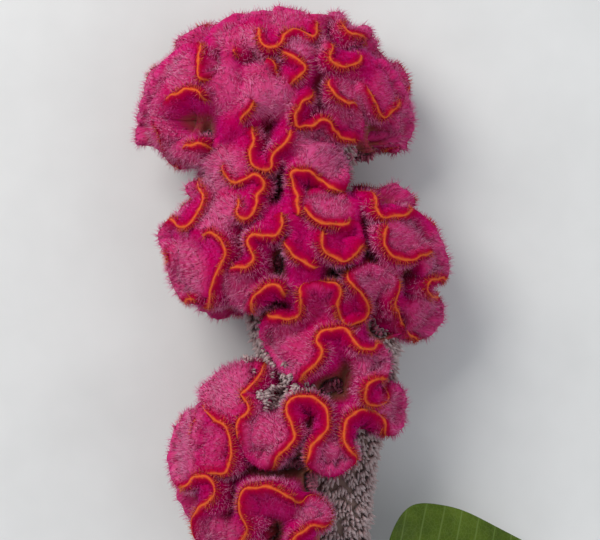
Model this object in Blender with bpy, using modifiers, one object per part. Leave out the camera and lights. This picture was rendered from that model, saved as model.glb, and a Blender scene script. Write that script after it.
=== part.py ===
"""Cockscomb flower, cut with a short leafy stem and laid on its back.

The flower is a fasciated (fan-shaped) rachis whose growing edge has become one long velvety sheet,
folded into loops all over the head. Units are metres; the numbers below are millimetres times MM.
X runs across the head, +Y runs up the plant from the cut end to the crown, and +Z is up, away from
the surface that the flower lies on. The origin is the middle of the flower's box, at its lowest point.
"""

import math
import random

import bmesh
import bpy
import numpy as np
from mathutils import Vector
from mathutils.bvhtree import BVHTree

MM = 0.001

# Where the working frame lies in the part's own frame: the working frame has its origin at the
# middle of the bloom, in the flat middle plane of the rachis.
BLOOM_CENTRE = np.array([-7.18, 80.28, 33.3])

# Sheet of the comb: the longest step and the biggest turn between its sections, its thickness, its
# rows as shares of its height with their thickness, and how its ribs rise from the root
LONGEST_STEP = 5.0
BIGGEST_TURN = 35.0
SHEET_THICK = 2.2
LIP_THICK = 3.4
SHEET_ROWS = ((0.0, SHEET_THICK), (0.55, SHEET_THICK), (0.9, LIP_THICK), (1.0, 0.0))
RIDGE_RISE = 0.7
ROOT_SPREAD = 13.0
ROOT_PULL = 0.52
ROOT_DEPTH = 0.25
ROOT_TOP = 60.0
END_TAPER = 7.0
END_SHARE = 0.45
KNEE_UP = 0.62
KNEE_OUT = 0.3
TRIM_GAP = 0.3

# Side of the cutter that presses flat what lies below the surface
SURFACE_BOX = 600.0

# The joined comb is meshed afresh at this size, then thinned to this many triangles
COMB_VOXEL = 0.8
COMB_TRIANGLES = 10400

# Outer surface that the folds reach: centre x, centre y, half width, half height,
# middle plane, depth in front, depth behind
SWELLS = (
    (-8.0, 61.0, 51.0, 32.0, -6.0, 34.0, 30.0),
    (-5.0, 34.0, 29.0, 27.0, 0.0, 28.0, 16.0),
    (1.0, 7.0, 52.0, 34.0, 0.0, 34.0, 25.0),
    (12.0, -31.0, 27.0, 27.0, 0.0, 30.0, 16.0),
    (-4.0, -66.0, 44.0, 42.0, 0.0, 32.0, 24.0),
)
BACK_ROUNDNESS = 3.0

# Fleshy heart of the comb under each swell: its centre and its half sizes
HEARTS = (
    ((-8.0, 60.0, -3.0), (38.0, 24.0, 21.0)),
    ((-5.0, 36.0, 6.0), (21.0, 20.0, 14.0)),
    ((1.0, 6.0, 6.0), (38.0, 25.0, 19.0)),
    ((11.0, -28.0, 6.5), (19.0, 23.0, 15.5)),
    ((-4.0, -66.0, 4.5), (31.0, 31.0, 18.5)),
)
HEART_SIDES = 14
HEART_RINGS = 9

# Crests that wind round the back of a swell: which swell, the first and last longitude in degrees
# from +X, the latitude behind the middle plane and how far it swings, the bends and their seed
BACK_CRESTS = (
    (0, -62.0, 242.0, 15.0, 12.0, 15, 1),
    (0, 0.0, 360.0, 50.0, 18.0, 12, 2),
    (2, -52.0, 50.0, 15.0, 12.0, 6, 3),
    (2, 130.0, 236.0, 15.0, 12.0, 6, 4),
    (2, 0.0, 360.0, 52.0, 17.0, 12, 5),
    (4, 98.0, 268.0, 15.0, 12.0, 9, 6),
    (4, 104.0, 262.0, 50.0, 17.0, 6, 7),
)
BEND_LEAN = 0.2
BACK_SHRINK = 0.9
LOWEST_LATITUDE = 4.0
HIGHEST_LATITUDE = 84.0
BACK_ROOT_PULL = 0.45

# Rachis: y, centre x, half width, half depth
RACHIS_STATIONS = (
    (-116.0, 12.0, 6.6, 6.4),
    (-107.0, 12.0, 7.6, 6.8),
    (-97.0, 12.0, 8.8, 7.6),
    (-80.0, 11.5, 10.8, 8.6),
    (-60.0, 10.5, 14.5, 9.2),
    (-42.0, 9.5, 20.0, 9.5),
    (-27.0, 9.5, 22.5, 9.5),
    (-12.0, 6.0, 23.0, 8.5),
    (7.0, 3.0, 19.0, 7.5),
    (28.0, -2.5, 17.5, 8.0),
    (40.0, -4.0, 20.5, 9.0),
    (49.0, -5.0, 20.0, 8.0),
    (57.0, -6.0, 12.0, 5.0),
)
RACHIS_SIDES = 20
RACHIS_ROUNDNESS = 2.6

# Chaffy florets on the rachis: spindles that droop down the plant
FLORET_LENGTH = 4.8
FLORET_RADIUS = 1.0
FLORET_SUNK = 1.5
FLORET_WAIST = 0.45
FLORET_SIDES = 3
FLORET_DROOP = 0.6
FLORET_PITCH = 5.2
FLORET_JITTER = 0.4
FLORET_STRAY = 0.15
FLORET_MARGIN = 3.0
FLORET_SEED = 7

# Shares of a floret's length at which its distance from the comb is checked
ROOM_SHARES = (0.1, 0.3, FLORET_WAIST, 0.7, 1.0)

# Stem: x, y, z of its middle and its radius, from under the rachis to the cut end
STEM_STATIONS = (
    (12.0, -116.3, 0.0, 5.9),
    (12.0, -126.0, -0.6, 5.8),
    (11.6, -142.0, -2.8, 5.6),
    (10.4, -165.0, -7.6, 5.5),
    (8.6, -190.0, -13.9, 5.4),
    (6.8, -216.0, -21.0, 5.3),
    (5.6, -238.0, -26.8, 5.2),
    (5.2, -250.0, -28.6, 5.2),
)
STEM_SIDES = 18
STEM_RIBS = 6
STEM_RIB_SHARE = 0.05

# Leaves: the height on the stem where each is attached, which way it heads over the surface in
# degrees from +X, its length, its half width, its drop below the attachment and its roll
LEAVES = (
    (-124.0, 24.0, 65.0, 27.0, 16.0, -20.0),
    (-146.0, 196.0, 78.0, 15.0, 22.0, -12.0),
    (-176.0, -34.0, 82.0, 16.0, 12.0, 12.0),
    (-208.0, 214.0, 66.0, 13.0, 4.0, -8.0),
)
LEAF_THICK = 0.9
LEAF_STATIONS = 13
LEAF_WAVE = 1.3
LEAF_WAVES = 3.0
LEAF_CHANNEL = 0.16
LEAF_ARCH = 1.4
LEAF_FALL = 1.5
BLADE_SKEW = 0.8
LEAF_ACROSS = (-1.0, -0.5, 0.0, 0.5, 1.0)
PETIOLE_SHARE = 0.2
PETIOLE_HALF_WIDTH = 1.3
PETIOLE_TAPER = 0.7
PETIOLE_DEPTH = 1.8
PETIOLE_END = 0.25

# Linear colours, and roughness
COMB_COLOUR = (0.45, 0.01, 0.10)
COMB_ROUGHNESS = 0.75
RACHIS_COLOUR = (0.52, 0.40, 0.42)
RACHIS_ROUGHNESS = 0.8
STEM_COLOUR = (0.20, 0.27, 0.08)
STEM_ROUGHNESS = 0.5
LEAF_COLOUR = (0.08, 0.16, 0.02)
LEAF_ROUGHNESS = 0.5

# Folded ridges of the front, read along the comb. Each point is x, y and how far it stands
# above (or, where the lip rolls away, below) the outer surface.
MAIN_RIDGE = (
    (17.0, 27.5, -5), (22.0, 26.0, -2), (24.5, 23.5, 0), (25.0, 20.3, 0), (27.0, 17.7, 0),
    (30.7, 17.7, 0), (35.3, 18.5, 0), (39.5, 18.5, -3), (44.0, 14.5, -4), (47.5, 9.5, -4),
    (49.0, 5.0, -4), (50.2, 1.3, -3), (49.5, -2.2, -1), (46.5, -2.8, 0), (43.3, -3.5, 0),
    (42.3, -6.5, 0), (44.0, -8.8, 0), (47.3, -10.0, -1), (49.0, -13.0, -3), (48.2, -17.5, -3),
    (45.2, -21.5, -3), (40.7, -23.3, -1), (37.0, -21.7, 0.5), (34.3, -18.3, 0), (32.5, -14.3, 0),
    (31.3, -10.6, 0), (32.3, -6.7, 0), (31.6, -3.0, -2), (28.0, -0.3, -3), (23.3, 1.0, -3),
    (19.0, 0.0, -3), (16.7, -2.7, -1), (17.7, -4.8, 0), (20.0, -7.8, 0), (22.0, -11.0, 0),
    (22.3, -14.0, 0), (20.0, -16.7, 0), (16.3, -17.7, 0), (13.3, -15.7, 0), (12.3, -12.0, 0),
    (13.0, -8.3, 0), (11.3, -5.3, -1), (6.7, -5.0, -2), (1.7, -6.0, -2), (0.3, -8.7, 0),
    (0.7, -11.7, 0), (-0.7, -14.7, 0), (-3.7, -16.3, 0), (-7.7, -15.7, 0), (-10.3, -16.0, -1),
    (-12.7, -18.5, -4), (-12.5, -22.5, -6), (-10.5, -27.0, -6), (-7.3, -31.5, -5),
    (-3.5, -35.2, -4), (-0.5, -35.8, -1), (2.3, -33.0, 0), (6.0, -30.0, 0), (7.0, -26.7, 0),
    (5.7, -23.7, 0), (7.0, -20.9, 0), (10.7, -19.4, 0), (14.7, -19.9, 0), (17.3, -22.3, 0),
    (19.5, -25.5, 0), (23.0, -26.4, 0), (26.5, -26.3, -2), (29.0, -28.5, -4), (29.3, -32.0, -4),
    (28.0, -35.2, -1), (24.7, -36.2, 0), (22.0, -38.5, 0), (21.5, -41.8, 0), (23.3, -44.6, 0),
    (26.7, -44.6, 0), (29.0, -42.0, -2), (32.0, -39.3, -4), (35.0, -42.5, -5), (35.5, -47.5, -5),
    (34.0, -52.5, -5), (31.3, -54.5, -3), (28.7, -51.5, -1), (26.3, -48.5, 0), (22.7, -46.6, 0),
    (18.7, -47.2, 0), (15.7, -50.0, 0), (14.3, -53.3, 0), (14.9, -56.7, 0), (16.7, -60.0, 0),
    (17.0, -63.5, -2), (14.0, -66.0, -4), (9.3, -66.8, -4), (5.0, -65.2, -3), (3.0, -61.8, 0),
    (3.7, -58.3, 0), (6.5, -55.0, 0), (9.0, -51.5, 0), (8.7, -46.8, 0), (6.0, -43.2, 0),
    (2.0, -42.0, 0), (-1.7, -42.4, 0), (-4.0, -44.3, 0), (-3.8, -47.7, 0), (-2.5, -51.2, 0),
    (-1.7, -54.5, 0), (-3.2, -57.2, 0), (-6.5, -59.8, 0), (-9.0, -62.8, -1), (-12.7, -64.3, -4),
    (-16.7, -62.5, -4), (-19.0, -58.3, -2), (-20.3, -53.3, 0), (-19.6, -49.6, 0), (-17.0, -46.2, 0),
    (-16.8, -43.7, 0), (-19.3, -41.4, 0), (-17.3, -39.6, 0), (-14.7, -37.3, 0), (-13.3, -33.9, -2),
    (-16.3, -32.0, -5), (-21.7, -32.5, -6), (-27.0, -35.0, -6), (-31.0, -38.7, -5),
    (-32.8, -42.5, -3), (-31.0, -46.5, 0), (-28.0, -49.5, 0), (-24.0, -52.0, 0), (-22.7, -56.7, 0),
    (-22.5, -61.3, 0), (-24.0, -65.8, 0), (-28.0, -67.0, 0), (-32.0, -66.3, -1), (-34.5, -63.5, -3),
    (-35.5, -59.7, -3), (-35.7, -55.7, -2), (-35.0, -51.7, -2), (-35.7, -48.4, -3),
    (-38.7, -49.5, -6), (-41.8, -54.0, -7), (-43.6, -59.5, -7), (-44.2, -65.0, -6),
    (-43.0, -69.5, -4), (-40.2, -72.2, -1), (-37.0, -71.2, 0), (-34.5, -68.8, 0), (-31.0, -68.3, 0),
    (-28.3, -70.8, 0), (-28.0, -74.0, 0), (-30.3, -76.8, 0), (-33.3, -79.3, 0), (-35.3, -82.5, 0),
    (-35.8, -86.5, 0), (-34.5, -91.0, -1), (-31.0, -94.3, -3), (-26.5, -95.0, -3),
    (-22.0, -92.5, -1), (-19.0, -89.5, 0), (-17.5, -86.5, 0), (-18.0, -82.7, 0), (-19.7, -78.7, 0),
    (-19.3, -74.5, 0), (-16.3, -71.7, 0), (-11.7, -71.3, 0), (-7.3, -72.2, 0), (-3.3, -74.3, 0),
    (0.7, -76.2, -3), (5.3, -77.3, -4), (8.8, -80.3, -4), (7.5, -83.5, -1), (3.7, -84.4, 0),
    (0.5, -86.3, 0), (-2.0, -89.3, 0), (-3.0, -93.3, 0), (-2.5, -97.0, -2), (1.0, -99.5, -4),
    (5.0, -98.0, -5),
)

LEFT_RIDGE = (
    (-20.5, 39.5, -4), (-24.0, 37.3, -2), (-25.0, 34.0, 0), (-23.7, 30.5, 0), (-21.0, 29.0, 0),
    (-18.0, 30.3, 0), (-14.7, 31.2, 0), (-12.0, 29.3, 0), (-12.3, 26.8, 0), (-14.3, 24.3, 0),
    (-14.5, 21.3, 0), (-15.5, 18.5, 0), (-18.3, 17.0, 0), (-20.4, 18.9, 0), (-20.9, 21.7, -1),
    (-23.5, 23.5, -4), (-27.5, 21.8, -5), (-31.0, 18.3, -5), (-33.0, 14.5, -3), (-31.8, 12.3, -1),
    (-29.0, 12.5, 0), (-26.3, 10.2, 0), (-24.3, 6.5, 0), (-25.5, 2.5, 0), (-27.5, -1.5, 0),
    (-29.0, -5.7, 0), (-29.7, -9.5, 0), (-32.0, -11.7, -2), (-35.3, -9.2, 0), (-38.7, -9.8, -1),
    (-41.7, -6.5, -3), (-43.7, -1.5, -3), (-43.7, 3.3, -1), (-44.3, 6.3, -1), (-46.5, 8.3, -4),
    (-47.5, 11.5, -4), (-45.7, 14.7, -2), (-42.5, 16.0, -1), (-38.7, 14.2, 0), (-36.0, 16.0, 0),
    (-33.5, 19.5, 0), (-32.0, 23.3, 0), (-33.0, 26.7, 0), (-36.0, 28.5, -3), (-39.3, 27.5, -5),
    (-40.5, 24.5, -6),
)

UNDER_LEFT_RIDGE = (
    (-10.3, 22.0, -5), (-7.3, 18.7, -2), (-6.2, 14.7, 0), (-7.7, 11.5, 0), (-11.3, 11.2, 0),
    (-15.0, 11.6, 0), (-17.0, 9.3, 0), (-15.9, 6.5, 0), (-15.1, 3.7, 0), (-17.3, 1.2, 0),
    (-20.7, 0.7, 0), (-23.3, -1.3, -2), (-23.6, -5.5, -4), (-21.3, -9.7, -5), (-18.3, -12.5, -3),
    (-15.9, -10.5, 0), (-13.5, -7.3, 0), (-10.5, -5.1, 0), (-7.0, -5.8, 0), (-4.3, -8.5, 0),
    (-3.2, -12.0, -1),
)

NECK_RIDGE = (
    (-36.3, 29.5, -6), (-34.0, 33.3, -6), (-32.0, 37.3, -6), (-29.7, 41.3, -5), (-26.3, 45.0, -5),
    (-22.0, 47.3, -4), (-18.0, 47.3, -2), (-15.7, 45.0, 0), (-15.7, 41.5, 0), (-16.3, 38.0, 0),
    (-15.3, 34.7, 0), (-12.3, 33.4, 0), (-9.5, 34.3, 0), (-8.9, 37.5, 0), (-7.0, 40.3, 0),
    (-4.3, 42.3, 0), (-2.5, 45.2, -1), (0.5, 47.0, -3), (4.5, 46.3, -4), (8.7, 43.7, -5),
    (12.3, 39.3, -5), (15.0, 34.7, -5), (15.8, 30.0, -3), (13.3, 26.9, -1), (10.3, 27.4, 0),
    (7.3, 29.4, 0), (4.0, 31.6, 0), (0.3, 33.0, 0), (-2.4, 31.7, 0), (-2.3, 28.3, 0),
    (-1.0, 24.7, 0), (-0.7, 21.0, 0), (-1.3, 16.7, 0), (-2.3, 13.3, -4),
)

MIDDLE_RIDGE = (
    (7.5, -2.7, -4), (6.3, -0.7, -1), (3.7, 1.4, 0), (0.3, 3.4, 0), (-2.4, 5.1, 0), (-3.7, 8.0, 0),
    (-3.3, 11.2, -3), (-0.8, 13.8, -4), (2.7, 14.7, -4), (5.7, 13.3, -2), (6.7, 10.3, 0),
    (7.7, 7.3, 0), (10.0, 4.7, 0), (13.7, 3.3, 0), (17.3, 4.7, 0), (19.7, 8.0, 0), (20.4, 11.8, -4),
    (18.3, 14.7, -3), (15.0, 14.8, 0), (11.3, 15.0, 0), (7.7, 15.4, 0), (4.4, 17.0, 0),
    (2.3, 19.8, 0), (1.8, 22.7, -2), (4.3, 25.0, -3), (8.7, 26.0, -3), (13.0, 24.7, -3),
    (16.7, 22.0, -2), (18.7, 18.7, -4),
)

RIGHT_CUP_RIDGE = (
    (33.0, 16.3, -2), (29.3, 14.5, 0), (27.4, 11.0, 1), (28.3, 7.0, 1), (31.3, 4.3, 1),
    (35.0, 3.4, 1), (38.7, 4.3, 1), (42.3, 5.7, 0), (45.0, 8.0, -2), (45.5, 11.5, -3),
)

TOP_LEFT_RIDGE = (
    (-30.5, 53.0, -3), (-32.0, 56.8, 0), (-34.0, 59.5, 0), (-37.3, 59.8, 0), (-41.3, 58.7, 0),
    (-44.3, 56.7, -1), (-47.3, 54.3, -3), (-50.0, 52.3, -3), (-49.3, 49.8, -1), (-47.8, 46.7, 0),
    (-46.7, 42.3, 0), (-45.0, 38.0, 0), (-42.3, 35.8, 0), (-40.8, 38.5, 0), (-38.7, 41.5, 0),
    (-35.0, 42.2, 0), (-31.3, 42.0, 0), (-28.5, 41.0, -4),
)

CROWN_LEFT_RIDGE = (
    (-52.0, 38.0, -5), (-55.0, 40.5, -5), (-56.0, 45.5, -5), (-55.5, 51.0, -5), (-53.7, 57.0, -5),
    (-50.5, 63.0, -4), (-47.0, 68.7, -4), (-42.0, 73.3, -4), (-37.0, 75.7, -3), (-33.7, 73.7, -1),
    (-33.5, 70.3, 0), (-33.6, 67.0, 0), (-33.0, 63.8, 0), (-30.3, 62.3, -1), (-27.5, 64.0, -4),
)

SMALL_LEFT_RIDGE = (
    (-26.5, 55.0, -4), (-23.3, 57.4, -4), (-19.7, 57.7, -4), (-17.0, 56.3, -2), (-16.7, 53.7, 0),
    (-18.3, 51.2, 0), (-20.9, 49.6, 0), (-24.0, 49.0, -3),
)

CROWN_EDGE_RIDGE = (
    (-27.5, 68.0, -5), (-31.0, 74.5, -4), (-30.0, 79.7, -4), (-25.7, 84.0, -4), (-20.7, 86.3, -4),
    (-17.0, 84.0, -4), (-16.7, 80.3, -4), (-19.0, 77.3, -4), (-20.7, 74.3, -2), (-21.7, 71.3, 0),
    (-24.5, 69.0, -4),
)

CROWN_RIDGE = (
    (-14.7, 68.5, -5), (-15.5, 73.3, -3), (-15.3, 77.5, -2), (-13.7, 79.7, 0), (-13.2, 76.7, 0),
    (-11.5, 74.0, 0), (-8.7, 73.6, 0), (-6.3, 75.3, 0), (-4.9, 78.0, 0), (-2.0, 79.5, -1),
    (1.3, 78.5, -1), (4.0, 77.4, 0), (5.3, 79.4, 0), (5.0, 82.5, 0), (2.7, 85.0, -2),
    (-1.0, 87.3, -4), (-5.7, 88.7, -5), (-10.7, 88.0, -5), (-14.5, 86.3, -5),
)

CENTRE_RIDGE = (
    (-17.0, 66.5, -5), (-13.5, 68.3, -3), (-10.3, 67.7, -1), (-8.4, 65.4, -3), (-5.3, 63.4, -4),
    (-2.3, 63.3, 0), (0.3, 64.4, 0), (1.4, 66.7, 0), (-0.4, 69.0, 0), (-3.0, 71.0, 0),
    (-5.2, 72.7, -1), (-3.7, 75.0, -3), (0.3, 75.7, -4), (4.0, 76.7, -4), (8.0, 76.3, -3),
    (10.2, 74.3, 0), (9.7, 71.3, 0), (11.0, 68.6, 0), (14.0, 67.4, 0), (17.0, 68.0, 0),
    (19.8, 69.4, 0), (22.3, 71.0, -3), (25.3, 70.0, -4), (25.8, 66.7, -1), (25.3, 63.5, -2),
)

CROWN_RIGHT_RIDGE = (
    (6.0, 87.0, -5), (10.3, 88.0, -5), (14.0, 86.7, -4), (13.8, 82.7, -1), (15.0, 80.3, 0),
    (17.7, 79.0, 0), (20.7, 79.2, -1), (23.3, 80.3, -4), (23.7, 83.3, -6), (20.7, 85.3, -6),
)

FRONT_RIDGE = (
    (-18.5, 58.0, -5), (-14.7, 60.7, -5), (-10.0, 62.0, -4), (-5.0, 62.3, -4), (-0.3, 61.7, -4),
    (2.8, 59.5, -2), (2.0, 56.7, 0), (-0.3, 54.0, 0), (-1.6, 50.7, 0), (-0.5, 48.0, 0),
    (2.3, 47.7, 0), (5.0, 48.7, 0), (7.7, 49.7, 0), (10.1, 48.6, 0), (11.4, 46.3, 0),
    (13.7, 44.4, 0), (17.3, 44.1, 0), (20.3, 45.3, -3), (20.7, 49.3, -3), (19.3, 53.0, -2),
    (16.3, 55.3, 0), (12.9, 56.7, 0), (11.0, 59.3, 0), (11.3, 62.0, -2), (14.3, 63.7, -4),
    (18.3, 63.3, -4), (21.3, 60.7, -1), (24.0, 57.0, 0), (25.7, 53.7, 0), (27.7, 51.1, 0),
    (30.0, 53.0, 0), (33.0, 55.0, -1), (36.3, 56.0, -4), (38.0, 52.7, -6), (37.0, 48.5, -7),
)

CROWN_FAR_RIGHT_RIDGE = (
    (22.0, 73.5, -5), (26.5, 71.5, -6), (31.0, 67.5, -6), (34.5, 62.3, -6), (37.3, 56.7, -7),
    (38.7, 50.5, -7), (37.3, 45.3, -8), (34.3, 41.7, -8), (33.5, 46.5, -6), (31.0, 49.0, -5),
)

FRONT_RIDGES = (
    MAIN_RIDGE, LEFT_RIDGE, UNDER_LEFT_RIDGE, NECK_RIDGE, MIDDLE_RIDGE, RIGHT_CUP_RIDGE,
    TOP_LEFT_RIDGE, CROWN_LEFT_RIDGE, SMALL_LEFT_RIDGE, CROWN_EDGE_RIDGE, CROWN_RIDGE,
    CENTRE_RIDGE, CROWN_RIGHT_RIDGE, FRONT_RIDGE, CROWN_FAR_RIGHT_RIDGE,
)


def front_height(x, y):
    """Height of the front's outer surface over the middle plane: the highest of the ellipsoids."""
    best = np.full(np.shape(x), -1e9)
    for cx, cy, half_w, half_h, middle, front, _ in SWELLS:
        inside = 1.0 - ((x - cx) / half_w) ** 2 - ((y - cy) / half_h) ** 2
        best = np.maximum(best, middle + front * np.sqrt(np.clip(inside, 0.0, None)))
    return best


def smooth_curve(points):
    """Catmull-Rom curve through the points, as many fine points and their run along it."""
    p = np.asarray(points, float)
    p = np.vstack([2 * p[0] - p[1], p, 2 * p[-1] - p[-2]])
    fine = []
    for i in range(1, len(p) - 2):
        t = np.linspace(0.0, 1.0, 12, endpoint=False)[:, None]
        a, b, c, d = p[i - 1], p[i], p[i + 1], p[i + 2]
        fine.append(
            0.5 * (2 * b + (c - a) * t + (2 * a - 5 * b + 4 * c - d) * t**2
                   + (3 * b - a - 3 * c + d) * t**3)
        )
    fine = np.vstack(fine + [p[-2][None]])
    run = np.concatenate([[0.0], np.cumsum(np.linalg.norm(np.diff(fine, axis=0), axis=1))])
    return fine, run


def stations_along(points):
    """Stations on the smooth curve through the points, closest together where it bends, and their
    run along it."""
    fine, run = smooth_curve(points)
    along = np.diff(fine, axis=0)
    along /= np.linalg.norm(along, axis=1, keepdims=True)
    turn = np.degrees(np.arccos(np.clip((along[1:] * along[:-1]).sum(axis=1), -1.0, 1.0)))
    effort = run / LONGEST_STEP
    effort[1:-1] += np.cumsum(turn) / BIGGEST_TURN
    effort[-1] += turn.sum() / BIGGEST_TURN
    count = max(3, int(round(effort[-1])) + 1)
    at = np.interp(np.linspace(0.0, effort[-1], count), effort, run)
    return np.stack([np.interp(at, run, fine[:, k]) for k in range(3)], axis=1), at


def front_ridge(points):
    """Ridge points on the front swells, from x, y and the height above them."""
    p = np.asarray(points, float)
    return np.stack([p[:, 0], p[:, 1], front_height(p[:, 0], p[:, 1]) + p[:, 2]], axis=1)


def back_ridge(swell, first, last, latitude, swing, bends, seed):
    """Ridge that winds to and fro round the back of a swell, on a superellipsoid: its latitude is
    a sine of its longitude, and its bends lean over their necks and are uneven in size."""
    rng = random.Random(seed)
    stops = np.cumsum([0.0] + [rng.uniform(0.8, 1.2) for _ in range(bends)])
    sizes = [swing * rng.uniform(0.75, 1.2) for _ in range(bends + 1)]
    phase = np.arange(0.0, bends + 0.01, 0.125)
    at = np.interp(phase, np.arange(bends + 1.0), stops / stops[-1])
    bend_length = (last - first) / bends
    longitude = first + (last - first) * at - BEND_LEAN * bend_length * np.sin(2.0 * np.pi * phase)
    reach = np.interp(phase, np.arange(bends + 1.0), sizes)
    depth = latitude + reach * np.sin(np.pi * phase)
    depth = np.radians(np.clip(depth, LOWEST_LATITUDE, HIGHEST_LATITUDE))
    turn = np.radians(longitude)
    cx, cy, half_w, half_h, middle, _, back = SWELLS[swell]
    power = 2.0 / BACK_ROUNDNESS
    wide = BACK_SHRINK * np.cos(depth) ** power
    x = cx + half_w * wide * np.cos(turn)
    y = cy + half_h * wide * np.sin(turn)
    return np.stack([x, y, middle - back * np.sin(depth) ** power], axis=1)


def blurred(values, run, spread):
    """Gaussian average along the curve, which irons the folds out of it."""
    weight = np.exp(-0.5 * ((run[:, None] - run[None, :]) / spread) ** 2)
    return (weight @ values) / weight.sum(axis=1, keepdims=True)


def rachis_at(y):
    """Centre x, half width and half depth of the rachis at height y."""
    table = np.asarray(RACHIS_STATIONS)
    return [np.interp(y, table[:, 0], table[:, k]) for k in (1, 2, 3)]


def front_root(ridge, run):
    """Line in the flower's heart that a front sheet grows from: the ridge with its folds ironed
    out, drawn in towards the rachis."""
    root = blurred(ridge, run, ROOT_SPREAD)
    centre, _, _ = rachis_at(root[:, 1])
    root[:, 0] = centre + ROOT_PULL * (root[:, 0] - centre)
    root[:, 1] = np.minimum(root[:, 1], ROOT_TOP + 0.5 * (root[:, 1] - ROOT_TOP))
    root[:, 2] *= ROOT_DEPTH
    return root


def back_root(ridge, run, swell):
    """The same line for a back sheet, drawn in towards the middle of its swell's heart."""
    centre = np.array([SWELLS[swell][0], SWELLS[swell][1], SWELLS[swell][4]])
    return centre + BACK_ROOT_PULL * (blurred(ridge, run, ROOT_SPREAD) - centre)


def sheet_rows(ridge, run, root):
    """The sheet's middle surface as rows at rising shares of its height, and its thickness there.

    Each rib is a quadratic Bezier curve that rises from the root and then flares out to the ridge.
    """
    rise = blurred(ridge, run, ROOT_SPREAD) - root
    rise /= np.linalg.norm(rise, axis=1, keepdims=True)
    span = ridge - root
    up = (span * rise).sum(axis=1, keepdims=True) * rise
    knee = root + KNEE_UP * up + KNEE_OUT * (span - up)
    ends = np.minimum(run, run[-1] - run)
    share = END_SHARE + (1.0 - END_SHARE) * np.clip(ends / END_TAPER, 0.0, 1.0)
    rows = []
    for height, thick in SHEET_ROWS:
        t = (height * share)[:, None]
        rows.append(((1 - t) ** 2 * root + 2 * t * (1 - t) * knee + t**2 * ridge, thick))
    return rows


def placed(points):
    """Working-frame millimetres to the part's own frame in metres."""
    return (np.asarray(points) + BLOOM_CENTRE) * MM


def add_mesh(name, verts, faces, collection):
    """Object of hand-placed faces, its points given in the working frame."""
    mesh = bpy.data.meshes.new(name)
    mesh.from_pydata([tuple(v) for v in placed(verts)], [], faces)
    obj = bpy.data.objects.new(name, mesh)
    collection.objects.link(obj)
    return obj


def loft(name, rings, collection):
    """Closed solid through rings of equally many points, capped at both ends."""
    count, around, _ = rings.shape
    faces = []
    for i in range(count - 1):
        for j in range(around):
            a = i * around + j
            b = i * around + (j + 1) % around
            faces.append((a, b, b + around, a + around))
    faces.append(tuple(range(around))[::-1])
    faces.append(tuple((count - 1) * around + j for j in range(around)))
    return add_mesh(name, rings.reshape(-1, 3), faces, collection)


def fold_sheet(name, ridge, run, root, collection):
    """One length of the comb: a loft of sections across the sheet, along its ridge."""
    rows = sheet_rows(ridge, run, root)
    left, right = [], []
    for k, (row, thick) in enumerate(rows[:-1]):
        upward = rows[k + 1][0] - (rows[k - 1][0] if k else row)
        normal = np.cross(np.gradient(row, axis=0), upward)
        normal /= np.linalg.norm(normal, axis=1, keepdims=True)
        left.append(row + 0.5 * thick * normal)
        right.append(row - 0.5 * thick * normal)
    tip = rows[-1][0] - rows[-2][0]
    tip = rows[-1][0] + RIDGE_RISE * tip / np.linalg.norm(tip, axis=1, keepdims=True)
    return loft(name, np.stack(right + [tip] + left[::-1], axis=1), collection)


def heart(name, centre, half_sizes, collection):
    """Fleshy core of one swell: a ball stretched to its half sizes."""
    ball = bmesh.new()
    bmesh.ops.create_uvsphere(ball, u_segments=HEART_SIDES, v_segments=HEART_RINGS, radius=1.0)
    for vert in ball.verts:
        vert.co = Vector(placed(np.array(vert.co) * half_sizes + centre))
    mesh = bpy.data.meshes.new(name)
    ball.to_mesh(mesh)
    ball.free()
    collection.objects.link(bpy.data.objects.new(name, mesh))


def rachis_ring(y, grow=0.0):
    """Ring of the rachis at height y, a rounded oblong made larger all round by grow."""
    centre, half_width, half_depth = rachis_at(y)
    angle = np.linspace(0.0, 2.0 * np.pi, RACHIS_SIDES, endpoint=False)
    power = 2.0 / RACHIS_ROUNDNESS
    wide = np.sign(np.cos(angle)) * np.abs(np.cos(angle)) ** power
    deep = np.sign(np.sin(angle)) * np.abs(np.sin(angle)) ** power
    across = centre + (half_width + grow) * wide
    return np.stack([across, np.full(RACHIS_SIDES, y), -(half_depth + grow) * deep], axis=1)


def rachis_solid(name, grow, collection):
    """The bare rachis, or with grow the space that the comb leaves for it."""
    rings = np.array([rachis_ring(station[0], grow) for station in RACHIS_STATIONS])
    rings[0, :, 1] -= grow
    rings[-1, :, 1] += grow
    return loft(name, rings, collection)


def surface_box(collection):
    """Cutter below the surface that the flower lies on."""
    box = bmesh.new()
    bmesh.ops.create_cube(box, size=SURFACE_BOX * MM)
    bmesh.ops.translate(box, vec=(0.0, 0.0, -0.5 * SURFACE_BOX * MM), verts=box.verts)
    mesh = bpy.data.meshes.new("below_surface")
    box.to_mesh(mesh)
    box.free()
    collection.objects.link(bpy.data.objects.new("below_surface", mesh))


def cutter_collection(name):
    collection = bpy.data.collections.new(name)
    bpy.context.scene.collection.children.link(collection)
    return collection


def hide_cutters(collection):
    for obj in collection.objects:
        obj.hide_render = True
        obj.display_type = "WIRE"


def settle(obj):
    """Applies an object's modifiers to its mesh."""
    evaluated = obj.evaluated_get(bpy.context.evaluated_depsgraph_get())
    mesh = bpy.data.meshes.new_from_object(evaluated)
    obj.modifiers.clear()
    obj.data = mesh


def combine(obj, operation, collection):
    """Joins or cuts an object with a collection's objects."""
    modifier = obj.modifiers.new(operation.lower(), "BOOLEAN")
    modifier.operation = operation
    modifier.operand_type = "COLLECTION"
    modifier.collection = collection
    modifier.solver = "MANIFOLD"
    settle(obj)


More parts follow.
